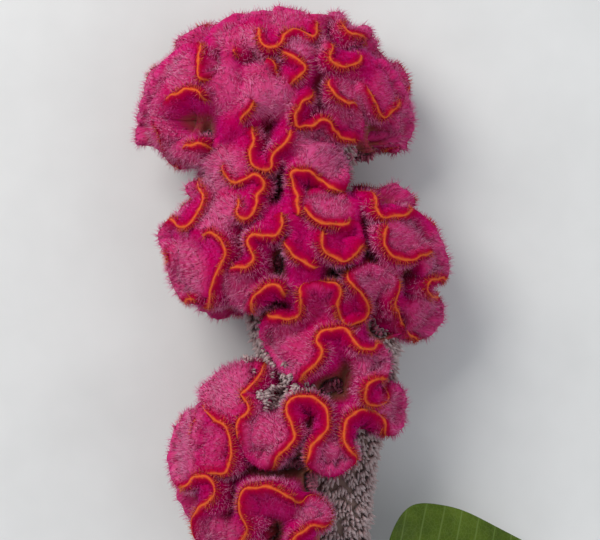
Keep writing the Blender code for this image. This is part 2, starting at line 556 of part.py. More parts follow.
def heal(obj):
    """Meshes an object afresh, which resolves where its sheets run through themselves and fills
    sealed hollows, and thins the result to few triangles."""
    remesh = obj.modifiers.new("remesh", "REMESH")
    remesh.mode = "VOXEL"
    remesh.voxel_size = COMB_VOXEL * MM
    settle(obj)
    decimate = obj.modifiers.new("decimate", "DECIMATE")
    decimate.ratio = 0.5 * COMB_TRIANGLES / len(obj.data.polygons)
    decimate.use_collapse_triangulate = True
    settle(obj)


def keep_largest(obj):
    """Drops loose scraps: only the closed skin with most points stays."""
    solid = bmesh.new()
    solid.from_mesh(obj.data)
    waiting = set(solid.verts)
    skins = []
    while waiting:
        front = [waiting.pop()]
        skin = set(front)
        while front:
            for edge in front.pop().link_edges:
                for vert in edge.verts:
                    if vert in waiting:
                        waiting.discard(vert)
                        skin.add(vert)
                        front.append(vert)
        skins.append(skin)
    skins.sort(key=len, reverse=True)
    scraps = [vert for skin in skins[1:] for vert in skin]
    bmesh.ops.delete(solid, geom=scraps, context="VERTS")
    solid.to_mesh(obj.data)
    solid.free()


def clear_away(collection):
    for obj in list(collection.objects):
        bpy.data.objects.remove(obj)
    bpy.data.collections.remove(collection)


def build_comb(flower, rachis_space, surface):
    """The folded comb: all its sheets and hearts joined, cut clear of the rachis and set on the
    surface, where its lowest ridges are pressed flat."""
    pieces = bpy.data.collections.new("comb_pieces")
    for n, points in enumerate(FRONT_RIDGES):
        ridge, run = stations_along(front_ridge(points))
        fold_sheet(f"front_fold_{n}", ridge, run, front_root(ridge, run), pieces)
    for n, crest in enumerate(BACK_CRESTS):
        ridge, run = stations_along(back_ridge(*crest))
        fold_sheet(f"back_fold_{n}", ridge, run, back_root(ridge, run, crest[0]), pieces)
    for n, (centre, half_sizes) in enumerate(HEARTS):
        heart(f"heart_{n}", centre, half_sizes, pieces)
    comb = pieces.objects[0]
    comb.name = "comb"
    flower.objects.link(comb)
    pieces.objects.unlink(comb)
    combine(comb, "UNION", pieces)
    heal(comb)
    combine(comb, "DIFFERENCE", rachis_space)
    combine(comb, "DIFFERENCE", surface)
    keep_largest(comb)
    clear_away(pieces)
    return comb


def floret(name, base, axis, collection):
    """One chaffy floret: a slim spindle whose lower end is sunk in the rachis."""
    side = np.cross(axis, (0.0, 0.0, 1.0) if abs(axis[2]) < 0.9 else (1.0, 0.0, 0.0))
    side /= np.linalg.norm(side)
    over = np.cross(axis, side)
    verts = [base - FLORET_SUNK * axis]
    for j in range(FLORET_SIDES):
        turn = 2.0 * math.pi * j / FLORET_SIDES
        out = math.cos(turn) * side + math.sin(turn) * over
        verts.append(base + FLORET_WAIST * FLORET_LENGTH * axis + FLORET_RADIUS * out)
    verts.append(base + FLORET_LENGTH * axis)
    faces = []
    for j in range(1, FLORET_SIDES + 1):
        after = j % FLORET_SIDES + 1
        faces.append((0, after, j))
        faces.append((FLORET_SIDES + 1, j, after))
    add_mesh(name, verts, faces, collection)


def floret_places():
    """Where florets stand on the rachis and which way they point: in rows round it, evenly spaced
    with some unevenness, out from the surface and drooping down the plant."""
    rng = random.Random(FLORET_SEED)
    places = []
    lowest = RACHIS_STATIONS[0][0] + FLORET_MARGIN
    heights = np.arange(lowest, RACHIS_STATIONS[-1][0], FLORET_PITCH)
    for row, y in enumerate(heights):
        ring = rachis_ring(y)
        ring = np.vstack([ring, ring[:1]])
        run = np.concatenate([[0.0], np.cumsum(np.linalg.norm(np.diff(ring, axis=0), axis=1))])
        count = int(run[-1] / FLORET_PITCH)
        for k in range(count):
            turn = (k + 0.5 * (row % 2) + rng.uniform(0.0, FLORET_JITTER)) / count
            at = turn * run[-1] % run[-1]
            base = np.array([np.interp(at, run, ring[:, c]) for c in range(3)])
            ahead = np.array([np.interp((at + 1.0) % run[-1], run, ring[:, c]) for c in range(3)])
            out = np.cross(ahead - base, (0.0, 1.0, 0.0))
            out /= np.linalg.norm(out)
            stray = [rng.uniform(-FLORET_STRAY, FLORET_STRAY) for _ in range(2)]
            axis = out + np.array([stray[0], -FLORET_DROOP, stray[1]])
            places.append((base, axis / np.linalg.norm(axis)))
    return places


def has_room(base, axis, tree):
    """Whether a floret clears the comb all along its length."""
    for share in ROOM_SHARES:
        slimness = min(share / FLORET_WAIST, (1.0 - share) / (1.0 - FLORET_WAIST))
        need = (FLORET_RADIUS * slimness + TRIM_GAP) * MM
        _, _, _, distance = tree.find_nearest(Vector(placed(base + share * FLORET_LENGTH * axis)))
        if distance < need:
            return False
    return True


def build_rachis(flower, comb):
    """The rachis, with a chaffy floret wherever the comb leaves room for one."""
    pieces = bpy.data.collections.new("florets")
    tree = BVHTree.FromObject(comb, bpy.context.evaluated_depsgraph_get())
    for n, (base, axis) in enumerate(floret_places()):
        if has_room(base, axis, tree):
            floret(f"floret_{n}", base, axis, pieces)
    rachis = rachis_solid("rachis", 0.0, flower)
    combine(rachis, "UNION", pieces)
    keep_largest(rachis)
    clear_away(pieces)
    return rachis


def build_stem(flower, surface):
    """The grooved stem, from just under the rachis down to its cut end, which rests on the surface
    on a small flat spot."""
    table = np.asarray(STEM_STATIONS)
    heading = np.gradient(table[:, :3], axis=0)
    heading[0] = (0.0, -1.0, 0.0)
    angle = np.linspace(0.0, 2.0 * np.pi, STEM_SIDES, endpoint=False)
    rib = 1.0 + STEM_RIB_SHARE * np.cos(STEM_RIBS * angle)
    rings = []
    for (x, y, z, radius), ahead in zip(STEM_STATIONS, heading):
        ahead = ahead / np.linalg.norm(ahead)
        side = np.cross((0.0, 0.0, -1.0), ahead)
        side /= np.linalg.norm(side)
        up = np.cross(ahead, side)
        out = np.cos(angle)[:, None] * side + np.sin(angle)[:, None] * up
        rings.append(np.array([x, y, z]) + radius * rib[:, None] * out)
    stem = loft("stem", np.array(rings), flower)
    combine(stem, "DIFFERENCE", surface)
    return stem


def leaf_surface(attach_y, heading, length, half_width, drop, roll):
    """Middle points of a leaf as stations by columns, with the upward directions and thickness.

    The petiole starts clear of the stem. The blade swells and tapers as a skewed sine, is folded up
    a little along its rib, waves at its margins and arches over as a parabola.
    """
    table = np.asarray(STEM_STATIONS)[::-1]
    stem_x, stem_z, radius = (np.interp(attach_y, table[:, 1], table[:, k]) for k in (0, 2, 3))
    heading, roll = math.radians(heading), math.radians(roll)
    ahead = np.array([math.cos(heading), math.sin(heading), 0.0])
    start = (radius * (1.0 + STEM_RIB_SHARE) + TRIM_GAP) / abs(ahead[0])
    start += PETIOLE_HALF_WIDTH * abs(ahead[1] / ahead[0])
    side = np.array([-ahead[1], ahead[0], 0.0])
    tilted = math.cos(roll) * side + math.sin(roll) * np.array([0.0, 0.0, 1.0])
    upward = np.cross(ahead, tilted)
    t = np.linspace(0.0, 1.0, LEAF_STATIONS)
    blade = np.clip((t - PETIOLE_SHARE) / (1.0 - PETIOLE_SHARE), 0.0, 1.0)
    width = PETIOLE_HALF_WIDTH * (1.0 - PETIOLE_TAPER * blade)
    width = width + half_width * np.sin(np.pi * blade**BLADE_SKEW)
    arch = drop * (LEAF_ARCH * t * (1.0 - t) - t**LEAF_FALL)
    middle = np.array([stem_x, attach_y, stem_z]) + (start + length * t)[:, None] * ahead
    middle[:, 2] += arch
    across = np.array(LEAF_ACROSS)
    points = middle[:, None] + (width[:, None] * across)[..., None] * tilted
    fold = LEAF_CHANNEL * width[:, None] * np.abs(across)
    phase = 2.0 * np.pi * LEAF_WAVES * blade[:, None] + np.where(across > 0, 0.0, 2.0)
    wave = LEAF_WAVE * across**2 * np.sin(phase) * np.sin(np.pi * blade)[:, None]
    points += (fold + wave)[..., None] * upward
    petiole = np.clip(1.0 - blade / PETIOLE_END, 0.0, 1.0)
    thick = LEAF_THICK + (PETIOLE_DEPTH - LEAF_THICK) * petiole
    return points, upward, thick


def build_leaf(name, leaf, flower):
    """One leaf: the same grid twice, half a thickness above and below its middle surface."""
    points, upward, thick = leaf_surface(*leaf)
    shift = 0.5 * thick[:, None, None] * upward
    stations, columns, _ = points.shape
    verts = np.concatenate([(points + shift).reshape(-1, 3), (points - shift).reshape(-1, 3)])
    under = stations * columns
    faces = []
    for i in range(stations - 1):
        for j in range(columns - 1):
            a, b = i * columns + j, i * columns + j + 1
            c, d = b + columns, a + columns
            faces += [(a, d, c), (a, c, b)]
            faces += [(a + under, c + under, d + under), (a + under, b + under, c + under)]
    rim = list(range(columns))
    rim += [i * columns + columns - 1 for i in range(1, stations)]
    rim += [(stations - 1) * columns + j for j in range(columns - 2, -1, -1)]
    rim += [i * columns for i in range(stations - 2, 0, -1)]
    for a, b in zip(rim, rim[1:] + rim[:1]):
        faces.append((a, b, b + under, a + under))
    return add_mesh(name, verts, faces, flower)


def paint(obj, colour, roughness):
    """Gives an object its own Principled material."""
    material = bpy.data.materials.new(obj.name)
    material.use_nodes = True
    shader = material.node_tree.nodes["Principled BSDF"]
    shader.inputs["Base Color"].default_value = (*colour, 1.0)
    shader.inputs["Roughness"].default_value = roughness
    shader.inputs["Metallic"].default_value = 0.0
    obj.data.materials.clear()
    obj.data.materials.append(material)


def main():
    for obj in list(bpy.data.objects):
        bpy.data.objects.remove(obj)
    flower = bpy.data.collections.new("cockscomb_flower")
    bpy.context.scene.collection.children.link(flower)
    rachis_space = cutter_collection("rachis_space")
    rachis_solid("rachis_space", TRIM_GAP, rachis_space)
    surface = cutter_collection("surface")
    surface_box(surface)
    comb = build_comb(flower, rachis_space, surface)
    rachis = build_rachis(flower, comb)
    stem = build_stem(flower, surface)
    leaves = [build_leaf(f"leaf_{n}", leaf, flower) for n, leaf in enumerate(LEAVES)]
    hide_cutters(rachis_space)
    hide_cutters(surface)
    paint(comb, COMB_COLOUR, COMB_ROUGHNESS)
    paint(rachis, RACHIS_COLOUR, RACHIS_ROUGHNESS)
    paint(stem, STEM_COLOUR, STEM_ROUGHNESS)
    for leaf in leaves:
        paint(leaf, LEAF_COLOUR, LEAF_ROUGHNESS)


main()
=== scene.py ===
"""Looks of the cockscomb flower: fine folds, bristles, florets, stem and leaves, each in the place of
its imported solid.

Shapes are worked out in millimetres in the bloom's own frame, whose origin is the middle of the bloom
in the flat middle plane of the rachis: X across the head, Y up the plant and Z up towards the light.
placed() brings them to the part's frame in metres.
"""

import math
import random

import bpy
import numpy as np
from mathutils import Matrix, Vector
from mathutils.bvhtree import BVHTree


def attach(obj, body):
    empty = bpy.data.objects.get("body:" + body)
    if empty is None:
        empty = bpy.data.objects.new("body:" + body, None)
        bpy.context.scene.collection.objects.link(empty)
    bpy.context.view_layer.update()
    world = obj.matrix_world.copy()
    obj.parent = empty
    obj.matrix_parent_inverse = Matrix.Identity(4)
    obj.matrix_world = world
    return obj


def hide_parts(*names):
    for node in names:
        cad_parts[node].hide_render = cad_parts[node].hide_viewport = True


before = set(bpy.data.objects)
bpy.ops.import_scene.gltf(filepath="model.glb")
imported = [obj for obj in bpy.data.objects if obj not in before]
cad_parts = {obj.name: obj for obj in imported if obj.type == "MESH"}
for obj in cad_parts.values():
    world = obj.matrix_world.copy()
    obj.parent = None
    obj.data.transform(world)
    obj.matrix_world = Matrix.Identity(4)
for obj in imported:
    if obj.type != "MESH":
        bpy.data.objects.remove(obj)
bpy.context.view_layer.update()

MM = 0.001
BLOOM_CENTRE = np.array([-7.18, 80.28, 33.3])

# The surface that the flower lies on: no point goes below it
SURFACE_Z = -BLOOM_CENTRE[2]

# Step between stations along a front ridge and along a back ridge, fine points of a curve from one
# of its given points to the next, and points down a rib
FRONT_STEP = 0.85
BACK_STEP = 1.15
CURVE_POINTS = 12
RIB_POINTS = 26

# Smooth random waves: how many sines they are made of, the range of their lengths, and what the
# sum is divided by to be about one high
SINES = 5
SINE_LENGTHS = (0.7, 1.7)
SINES_HEIGHT = 2.2

# Cross section of a fold: depth below the top of its lip and half its thickness there
FOLD_PROFILE = (
    (0.0, 0.0), (0.12, 0.62), (0.35, 1.05), (0.7, 1.45), (1.15, 1.8), (1.65, 2.05), (2.25, 2.25),
    (2.9, 2.42), (3.6, 2.55), (4.4, 2.68), (5.3, 2.8), (6.4, 2.9), (7.8, 2.95), (9.6, 2.9),
    (12.0, 2.7), (15.0, 2.3), (19.0, 1.8), (24.0, 1.5),
)

# Share by which a fold's thickness swells and shrinks along the ridge, and over what length
THICK_SWING = 0.08
THICK_WAVE = 11.0

# The growing edge is a bead on the skin, this high over this half width
BEAD_RISE = 0.15
BEAD_WIDTH = 0.6

# Where the lip rolls away from the light by more than ROLL_START, the bead lies down the far side
# of the bend: this many times the roll, and at most so far, averaged over this length of the ridge
ROLL_START = 0.5
ROLL_SHARE = 1.6
ROLL_MOST = 6.5
ROLL_SPREAD = 2.0

# A bend is how far the ridge lies from its own average over this length. To tell the far side,
# FAR_SIDE is added, which points away from the light, and the least weight of a place is LIP_WEIGHT.
BEND_SPREAD = 5.0
FAR_SIDE = (0.0, 0.0, -2.5)
LIP_WEIGHT = 0.05

# How sharply a bend has one far side and one outer side
FAR_SHARPNESS = 3.0
OUTER_SHARPNESS = 1.5

# Flutes that run down a fold's flanks: their height, the length of their waves along the ridge, and
# the distances from the edge between which they grow to that height
FLUTE_HEIGHT = 0.6
FLUTE_WAVE = 5.0
FLUTE_DEPTHS = (3.0, 9.0)

# The line that a front fold grows from: the ridge averaged over ROOT_SPREAD, at these shares of its
# distance across from the rachis and of its height, and at half the height on the plant past ROOT_TOP
ROOT_SPREAD = 13.0
ROOT_PULL = 0.52
ROOT_DEPTH = 0.25
ROOT_TOP = 60.0
ROOT_PAST_TOP = 0.5

# How a rib rises from that line: its top stands this far past the ridge, its knee lies at these
# shares of the way up and out, and over this length at the ridge's ends it shrinks to this share
RIDGE_RISE = 0.7
KNEE_UP = 0.62
KNEE_OUT = 0.3
END_TAPER = 7.0
END_SHARE = 0.45

# Lips at the back that roll over: how far, and the length of the waves that it follows. Those that
# make the head's outline roll by OUTLINE_ROLL down to this depth behind the middle plane, and less
# and less down to twice that depth.
BACK_ROLL = 3.0
BACK_ROLL_WAVE = 34.0
OUTLINE_ROLL = 4.5
OUTLINE_DEPTH = 8.0

# Fine unevenness of a growing edge: how far it strays, and over what length
EDGE_STRAY = 0.22
EDGE_WAVE = 6.0

# Outer surface that the folds reach: centre x, centre y, half width, half height,
# middle plane, depth in front, depth behind
SWELLS = (
    (-8.0, 61.0, 51.0, 32.0, -6.0, 34.0, 30.0),
    (-5.0, 34.0, 29.0, 27.0, 0.0, 28.0, 16.0),
    (1.0, 7.0, 52.0, 34.0, 0.0, 34.0, 25.0),
    (12.0, -31.0, 27.0, 27.0, 0.0, 30.0, 16.0),
    (-4.0, -66.0, 44.0, 42.0, 0.0, 32.0, 24.0),
)
BACK_ROUNDNESS = 3.0

# Velvet between the ridges: height on the plant, its left and right limit, and behind it the middle
# plane and the depth that the flesh reaches
VELVET_OUTLINE = (
    (-106.0, -18.0, -4.0, 0.0, 3.0),
    (-100.0, -27.0, 0.0, 0.0, 9.0),
    (-90.0, -33.0, 1.0, 0.0, 15.0),
    (-85.0, -33.0, 4.5, 0.0, 16.0),
    (-82.5, -33.0, 8.0, 0.0, 17.0),
    (-79.5, -33.0, 8.5, 0.0, 17.0),
    (-77.0, -34.0, 5.5, 0.0, 18.0),
    (-74.0, -35.0, 3.0, 0.0, 18.0),
    (-68.0, -40.0, 4.0, 0.0, 18.0),
    (-62.0, -40.5, 15.0, 0.0, 18.0),
    (-57.0, -40.0, 17.0, 0.0, 18.0),
    (-52.0, -38.5, 20.0, 0.0, 17.5),
    (-49.0, -37.5, 31.0, 0.0, 17.0),
    (-44.0, -31.0, 31.0, 0.0, 13.0),
    (-38.0, -29.0, 26.0, 0.0, 8.0),
    (-33.5, -25.0, 25.0, 0.0, 3.0),
    (-31.5, -20.0, 25.5, 0.0, 2.0),
    (-30.0, -9.5, 26.0, 0.0, 1.0),
    (-24.0, -9.5, 29.0, 0.0, 2.0),
    (-21.0, -10.0, 38.0, 0.0, 6.0),
    (-17.0, -11.0, 43.0, 0.0, 13.0),
    (-12.0, -22.0, 45.0, 0.0, 16.0),
    (-9.0, -35.0, 45.0, 0.0, 17.0),
    (-4.0, -41.0, 45.5, 0.0, 18.0),
    (4.0, -43.5, 44.5, 0.0, 18.0),
    (12.0, -43.0, 40.5, 0.0, 17.0),
    (18.0, -41.0, 34.0, 0.0, 13.0),
    (22.0, -37.0, 26.0, 0.0, 7.0),
    (25.0, -35.0, 16.0, 0.0, 2.0),
    (30.0, -31.0, 13.5, 0.0, 1.0),
    (34.5, -33.0, 14.5, -3.0, 4.0),
    (38.5, -45.0, 17.0, -6.0, 13.0),
    (42.0, -50.0, 30.0, -6.0, 18.0),
    (48.0, -52.0, 34.0, -6.0, 22.0),
    (57.0, -51.0, 34.0, -6.0, 23.0),
    (66.0, -46.0, 29.5, -6.0, 22.0),
    (74.0, -38.0, 22.0, -6.0, 17.0),
    (80.0, -27.0, 19.0, -6.0, 12.0),
    (86.0, -17.0, 13.0, -6.0, 6.0),
)

# Rows of the velvet up the plant, its points across the front and across the back, how far it
# stands off the middle plane at least, and the power that rounds its back
VELVET_ROWS = 220
VELVET_ACROSS = 132
VELVET_BEHIND = 24
VELVET_LEAST = 1.0
VELVET_ROUNDNESS = 4

# How the velvet falls away beside a ridge: at once, and with the square of the distance, and how
# softly the skirts and the lobes run into each other
SKIRT_DROP = 2.3
SKIRT_CURVE = 0.11
SOFTNESS = 0.8

# How far the velvet rolls down at its own outline, and over what width
RIM_FALL = 5.0
RIM_WIDTH = 4.0

# Swollen lobes whose edge is turned away: middle x and y, half sizes, turn in degrees, how far they
# stand above the outer surface, and how pale and long-haired they are. Their paleness is partly pale
# hair and partly painted light on the raised lobe.
LOBES = (
    (-25.3, 61.3, 5.5, 8.5, 10.0, -3.0, 0.6), (-16.3, 76.7, 4.0, 4.0, 0.0, -2.0, 0.75),
    (-12.7, 65.7, 5.5, 4.0, 0.0, -2.0, 0.55), (-11.0, 57.7, 7.5, 6.5, 0.0, -1.0, 1.0),
    (2.5, 74.5, 7.0, 3.0, 8.0, -1.5, 0.9), (17.3, 56.0, 6.0, 7.5, 20.0, -2.5, 0.55),
    (7.5, 39.0, 9.5, 6.5, -40.0, -1.0, 0.95), (-28.0, 33.0, 8.0, 6.5, 40.0, -1.0, 1.0),
    (-26.0, 18.3, 7.0, 5.0, 30.0, -1.5, 0.85), (-38.7, -0.7, 6.5, 9.5, 0.0, -2.0, 0.8),
    (8.7, 20.7, 7.0, 4.0, 0.0, -1.5, 0.6), (35.3, 11.3, 7.5, 5.5, -10.0, -1.0, 0.55),
    (25.0, -3.7, 7.5, 5.0, 0.0, -2.0, 0.75), (45.3, 4.0, 4.0, 8.0, 10.0, -3.0, 0.75),
    (43.7, -15.0, 4.5, 6.5, 0.0, -3.0, 0.6), (-20.0, -6.7, 4.5, 7.0, 20.0, -2.0, 0.65),
    (5.0, -11.0, 5.5, 6.5, 0.0, -3.5, 0.15), (-5.3, -26.7, 8.5, 8.0, -30.0, -1.5, 0.5),
    (24.7, -31.7, 5.5, 5.0, 0.0, -2.0, 0.9), (-24.7, -39.3, 9.0, 6.5, 35.0, -1.0, 0.8),
    (-39.0, -60.0, 4.2, 10.0, -10.0, -2.0, 0.9), (-29.0, -59.3, 4.5, 7.0, 0.0, -3.5, 0.3),
    (-11.3, -53.8, 6.5, 9.0, 10.0, -1.0, 0.7), (10.8, -61.2, 6.0, 5.0, 20.0, -1.0, 0.75),
    (30.7, -48.3, 4.0, 8.0, 0.0, -2.0, 0.65), (-10.0, -78.3, 8.0, 6.5, 0.0, -3.5, 0.1),
    (5.0, -80.0, 5.5, 4.0, 0.0, -2.0, 0.85), (-27.3, -87.3, 6.5, 5.0, 0.0, -2.0, 0.6),
    (-45.7, 43.3, 3.5, 8.0, 5.0, -2.5, 0.75), (-40.7, 66.7, 4.5, 6.0, -20.0, -2.0, 0.75),
    (-50.0, 60.7, 4.0, 8.0, -15.0, -3.0, 0.45), (-36.0, -50.5, 3.5, 4.0, 0.0, -1.5, 0.7),
    (-5.7, 84.3, 6.0, 4.0, 0.0, -2.0, 0.4), (16.7, 84.3, 5.0, 3.5, 0.0, -2.0, 0.7),
    (29.0, 60.7, 4.5, 7.0, 0.0, -3.5, 0.3), (35.0, 51.0, 3.0, 7.0, 0.0, -3.0, 0.55),
    (-23.7, 77.5, 5.0, 5.0, 0.0, -2.5, 0.45),
)

# How far a lobe has fallen at its half size: it falls with the cube of the distance
LOBE_FALL = 2.2

# Paleness of the comb from 0 to 1, partly pale hair and partly painted light. A lobe's starts at
# PALE_RIM times its half sizes and is whole PALE_FADE nearer its middle. The back has one paleness
# all over. The front has a painted sheen towards the head's outline, which fades out between these
# heights of the outer surface.
PALE_RIM = 1.5
PALE_FADE = 0.8
BACK_PALENESS = 0.45
OUTLINE_PAINTED_SHEEN = 0.6
OUTLINE_HEIGHTS = (8.0, 20.0)

# Deep places between the folds: middle x and y, half sizes, turn in degrees and depth
HOLLOWS = (
    (-29.3, 71.3, 2.5, 4.0, 0.0, 10.0), (-11.7, 71.0, 7.0, 2.2, 0.0, 7.0),
    (6.0, 59.3, 2.7, 9.0, 0.0, 6.5), (15.0, 76.0, 8.0, 2.5, 0.0, 10.0),
    (-40.0, 51.0, 6.5, 3.8, 0.0, 15.0), (28.3, 44.0, 5.0, 5.0, 0.0, 17.0),
    (-10.7, 45.0, 2.5, 6.0, 0.0, 6.0), (18.0, 40.5, 5.0, 4.0, 0.0, 18.0),
    (-8.3, 28.0, 2.5, 5.5, 0.0, 18.0), (3.3, 27.3, 3.5, 2.5, 0.0, 6.0),
    (-19.3, 10.0, 2.2, 7.0, 0.0, 7.0), (-6.7, 2.7, 2.5, 6.0, 0.0, 15.0),
    (12.7, -0.7, 5.0, 3.0, 0.0, 15.0), (23.3, 7.3, 2.5, 7.0, 0.0, 15.0),
    (27.0, -18.3, 4.6, 6.5, 0.0, 24.0), (-9.5, -12.7, 5.5, 3.0, 0.0, 24.0),
    (-9.0, -37.5, 4.5, 7.5, 15.0, 30.0), (9.0, -40.7, 5.5, 5.0, 0.0, 13.0),
    (-8.7, -64.8, 13.0, 4.2, 0.0, 18.0), (-23.3, -76.7, 2.5, 7.0, 0.0, 12.0),
    (6.0, -71.3, 5.0, 4.0, 0.0, 18.0), (16.3, -36.0, 2.5, 8.0, 0.0, 3.0),
    (-9.0, -88.0, 3.5, 5.0, 0.0, 14.0), (36.0, -3.5, 3.0, 6.5, 0.0, 14.0),
    (22.5, 14.0, 3.0, 4.5, 0.0, 8.0), (-21.3, -61.0, 2.0, 5.0, 0.0, 8.0),
    (0.7, -58.0, 2.2, 6.0, 0.0, 8.0), (2.8, -51.5, 3.2, 6.5, -8.0, 7.0),
    (20.0, -51.5, 4.0, 3.0, 0.0, 7.0), (10.7, 80.3, 2.5, 4.0, 0.0, 7.0),
    (7.0, 44.3, 4.0, 1.8, 0.0, 6.0), (-30.7, 47.3, 3.0, 6.0, 0.0, 8.0),
    (23.0, 49.5, 2.5, 4.0, 0.0, 9.0), (33.5, -17.5, 2.5, 3.5, 0.0, 7.0),
)

# Colour depth of the velvet: this and a share of its drop below the outer surface, within limits,
# and the colour depth behind. The darker colours that this gives the hollows are partly the flesh's
# own colour and partly painted shade.
SINK_START = 1.0
SINK_SHARE = 1.3
SHALLOWEST = 4.0
DEEPEST = 24.0
BEHIND_DEPTH = 9.0

# How far from a ridge the velvet's streaks still follow it
COMBED_REACH = 3.5

# Crests that wind round the back of a swell: which swell, the first and last longitude in degrees
# from +X, the latitude behind the middle plane and how far it swings, the bends and their seed
BACK_CRESTS = (
    (0, -62.0, 242.0, 15.0, 12.0, 15, 1),
    (0, 0.0, 360.0, 50.0, 18.0, 12, 2),
    (2, -52.0, 50.0, 15.0, 12.0, 6, 3),
    (2, 130.0, 236.0, 15.0, 12.0, 6, 4),
    (2, 0.0, 360.0, 52.0, 17.0, 12, 5),
    (4, 98.0, 268.0, 15.0, 12.0, 9, 6),
    (4, 104.0, 262.0, 50.0, 17.0, 6, 7),
)

# Bends of a crest: how far they lean over their necks, the ranges of their lengths and sizes, the
# share of a bend from one point to the next, and the limits of the latitude
BEND_LEAN = 0.2
BEND_LENGTHS = (0.8, 1.2)
BEND_SIZES = (0.75, 1.2)
BEND_STEP = 0.125
LOWEST_LATITUDE = 4.0
HIGHEST_LATITUDE = 84.0

# Size of a crest as a share of its swell, and of the line that its fold grows from as a share of
# the crest
BACK_SHRINK = 0.9
BACK_ROOT_PULL = 0.45

# Bristles: how many a square millimetre, from and to which depth below the lip, length, radius and
# how far they lean from square to the surface towards the ridge, in degrees
BRISTLE_BANDS = (
    (0.5, 0.0, 0.35, 0.5, 0.09, 5.0),
    (2.4, 0.35, 1.2, 1.1, 0.12, 25.0),
    (1.8, 1.2, 2.8, 1.5, 0.13, 20.0),
    (1.7, 2.8, 6.0, 1.8, 0.13, 25.0),
    (1.2, 6.0, 10.0, 1.9, 0.13, 40.0),
    (0.5, 10.0, 15.0, 1.6, 0.12, 52.0),
)

# How far bristles, teeth and hairs are sunk in the skin, the share by which their length swings, and
# the share of it at which they are looked at to tell whether they are buried
BRISTLE_SUNK = 0.3
BRISTLE_LENGTH_SWING = 0.35
BRISTLE_LOOKOUT = 0.6

# How far bristles stray from their direction, how much longer they are where the comb is palest,
# and the share of them at the back
BRISTLE_STRAY = 0.28
PALE_LONGER = 0.5
BACK_THINNER = 0.8

# Fringe of a fold: its paleness, and on the outer side of a bend at least this, which is partly
# pale bristles and partly painted light on the bend's outer face. At these fringes there are these
# shares of the bristles, so that the cups have few.
OUTER_FRINGE = 0.75
FRINGES = (0.0, 0.6, 1.0)
FRINGE_SHARES = (0.4, 1.0, 1.3)

# Teeth that fringe the outer side of a bend, in rows: how far apart they stand in a row and how
# unevenly as a share of that, and the depth of the rows below the lip
TEETH_PITCH = 0.85
TEETH_UNEVEN = 0.2
TEETH_ROWS = (0.35, 0.8, 1.3)

# Their length, radius, how far they lean away from the ridge in degrees and stray, and the depth
# whose colour they have
TEETH_LENGTH = 1.8
TEETH_RADIUS = 0.18
TEETH_LEAN = 30.0
TEETH_STRAY = 0.14
TEETH_COLOUR_DEPTH = 0.3

# Hairs of the velvet, where it is deep-coloured and where it is palest: how many a square
# millimetre, length, and how far they lean towards the ridge, in degrees
HAIR_DENSITY = (1.2, 1.75)
HAIR_LENGTH = (1.4, 2.8)
HAIR_LEAN = (-5.0, -52.0)

# Their radius, how far they stray, and the colour depths between which they thin out to none
HAIR_RADIUS = 0.11
HAIR_STRAY = 0.14
HAIR_DEPTHS = (13.0, 19.0)

# Rachis: y, centre x, half width, half depth
RACHIS_STATIONS = (
    (-116.0, 12.0, 6.6, 6.4),
    (-107.0, 12.0, 7.6, 6.8),
    (-97.0, 12.0, 8.8, 7.6),
    (-80.0, 11.5, 10.8, 8.6),
    (-60.0, 10.5, 14.5, 9.2),
    (-42.0, 9.5, 20.0, 9.5),
    (-27.0, 9.5, 22.5, 9.5),
    (-12.0, 6.0, 23.0, 8.5),
    (7.0, 3.0, 19.0, 7.5),
    (28.0, -2.5, 17.5, 8.0),
    (40.0, -4.0, 20.5, 9.0),
    (49.0, -5.0, 20.0, 8.0),
    (57.0, -6.0, 12.0, 5.0),
)
RACHIS_ROUNDNESS = 2.6
RACHIS_SIDES = 56
RACHIS_RINGS = 110

# Chaffy florets on the rachis: how far apart they stand and how far out of line as a share of that,
# their length and the range of it, how far they droop down the plant and how far they stray
FLORET_PITCH = 2.3
FLORET_JITTER = 0.3
FLORET_LENGTH = 4.0
FLORET_LENGTHS = (0.8, 1.1)
FLORET_DROOP = 0.8
FLORET_STRAY = 0.16

# How far out a floret is looked at to tell whether it is buried
FLORET_LOOKOUT = 1.5

# Papery tepals: how many a floret has, the ranges of their length as a share of its length and of
# how far they open, and how far from its middle they stand
TEPALS = 4
TEPAL_LENGTHS = (0.75, 1.1)
TEPAL_OPENING = (0.12, 0.42)
TEPAL_SEAT = 0.35

# Waist of a tepal: its radius where the tepal is FLORET_LENGTH long, its place as a share of the
# length, and its corners
TEPAL_RADIUS = 1.1
TEPAL_WAIST = 0.42
TEPAL_SIDES = 3

# Gaps whose flanks carry florets too: middle x and y, half sizes and turn in degrees
FLORET_GAPS = (
    (-10.5, -37.0, 5.5, 10.0, 15.0), (-2.0, -38.8, 7.0, 4.0, -5.0), (-13.5, -29.5, 4.5, 4.0, 0.0),
)

# Florets of the gaps: the depth below the lip from which they stand, how many a square millimetre,
# their length, how far they droop, and how much paler than the others they get, which is painted
# light for the light that they catch in the gaps.
GAP_DEPTH = 4.5
GAP_DENSITY = 0.7
GAP_LENGTH = 2.7
GAP_DROOP = 0.4
GAP_PAINTED_LIGHT = 3.0

# Chaff in the deep places: how many a square millimetre, how far it strays, the range of its
# lengths, and the colour depths between which it grows to that number
CHAFF_DENSITY = 0.3
CHAFF_STRAY = 0.25
CHAFF_LENGTHS = (2.4, 4.0)
CHAFF_DEPTHS = (18.0, 22.0)

# A fractional row or column ends this far short of the grid's length, or this far into a cell, so
# that there is always a next point to blend with
GRID_END = 1.001
CELL_END = 0.999

# Seeds of the random draws, to which a fold's or a group's number is added where there are several
FRONT_SEED = 100
BACK_ROLL_SEED = 200
BACK_SEED = 250
BRISTLE_SEED = 300
HAIR_SEED = 310
FLORET_SEED = 7

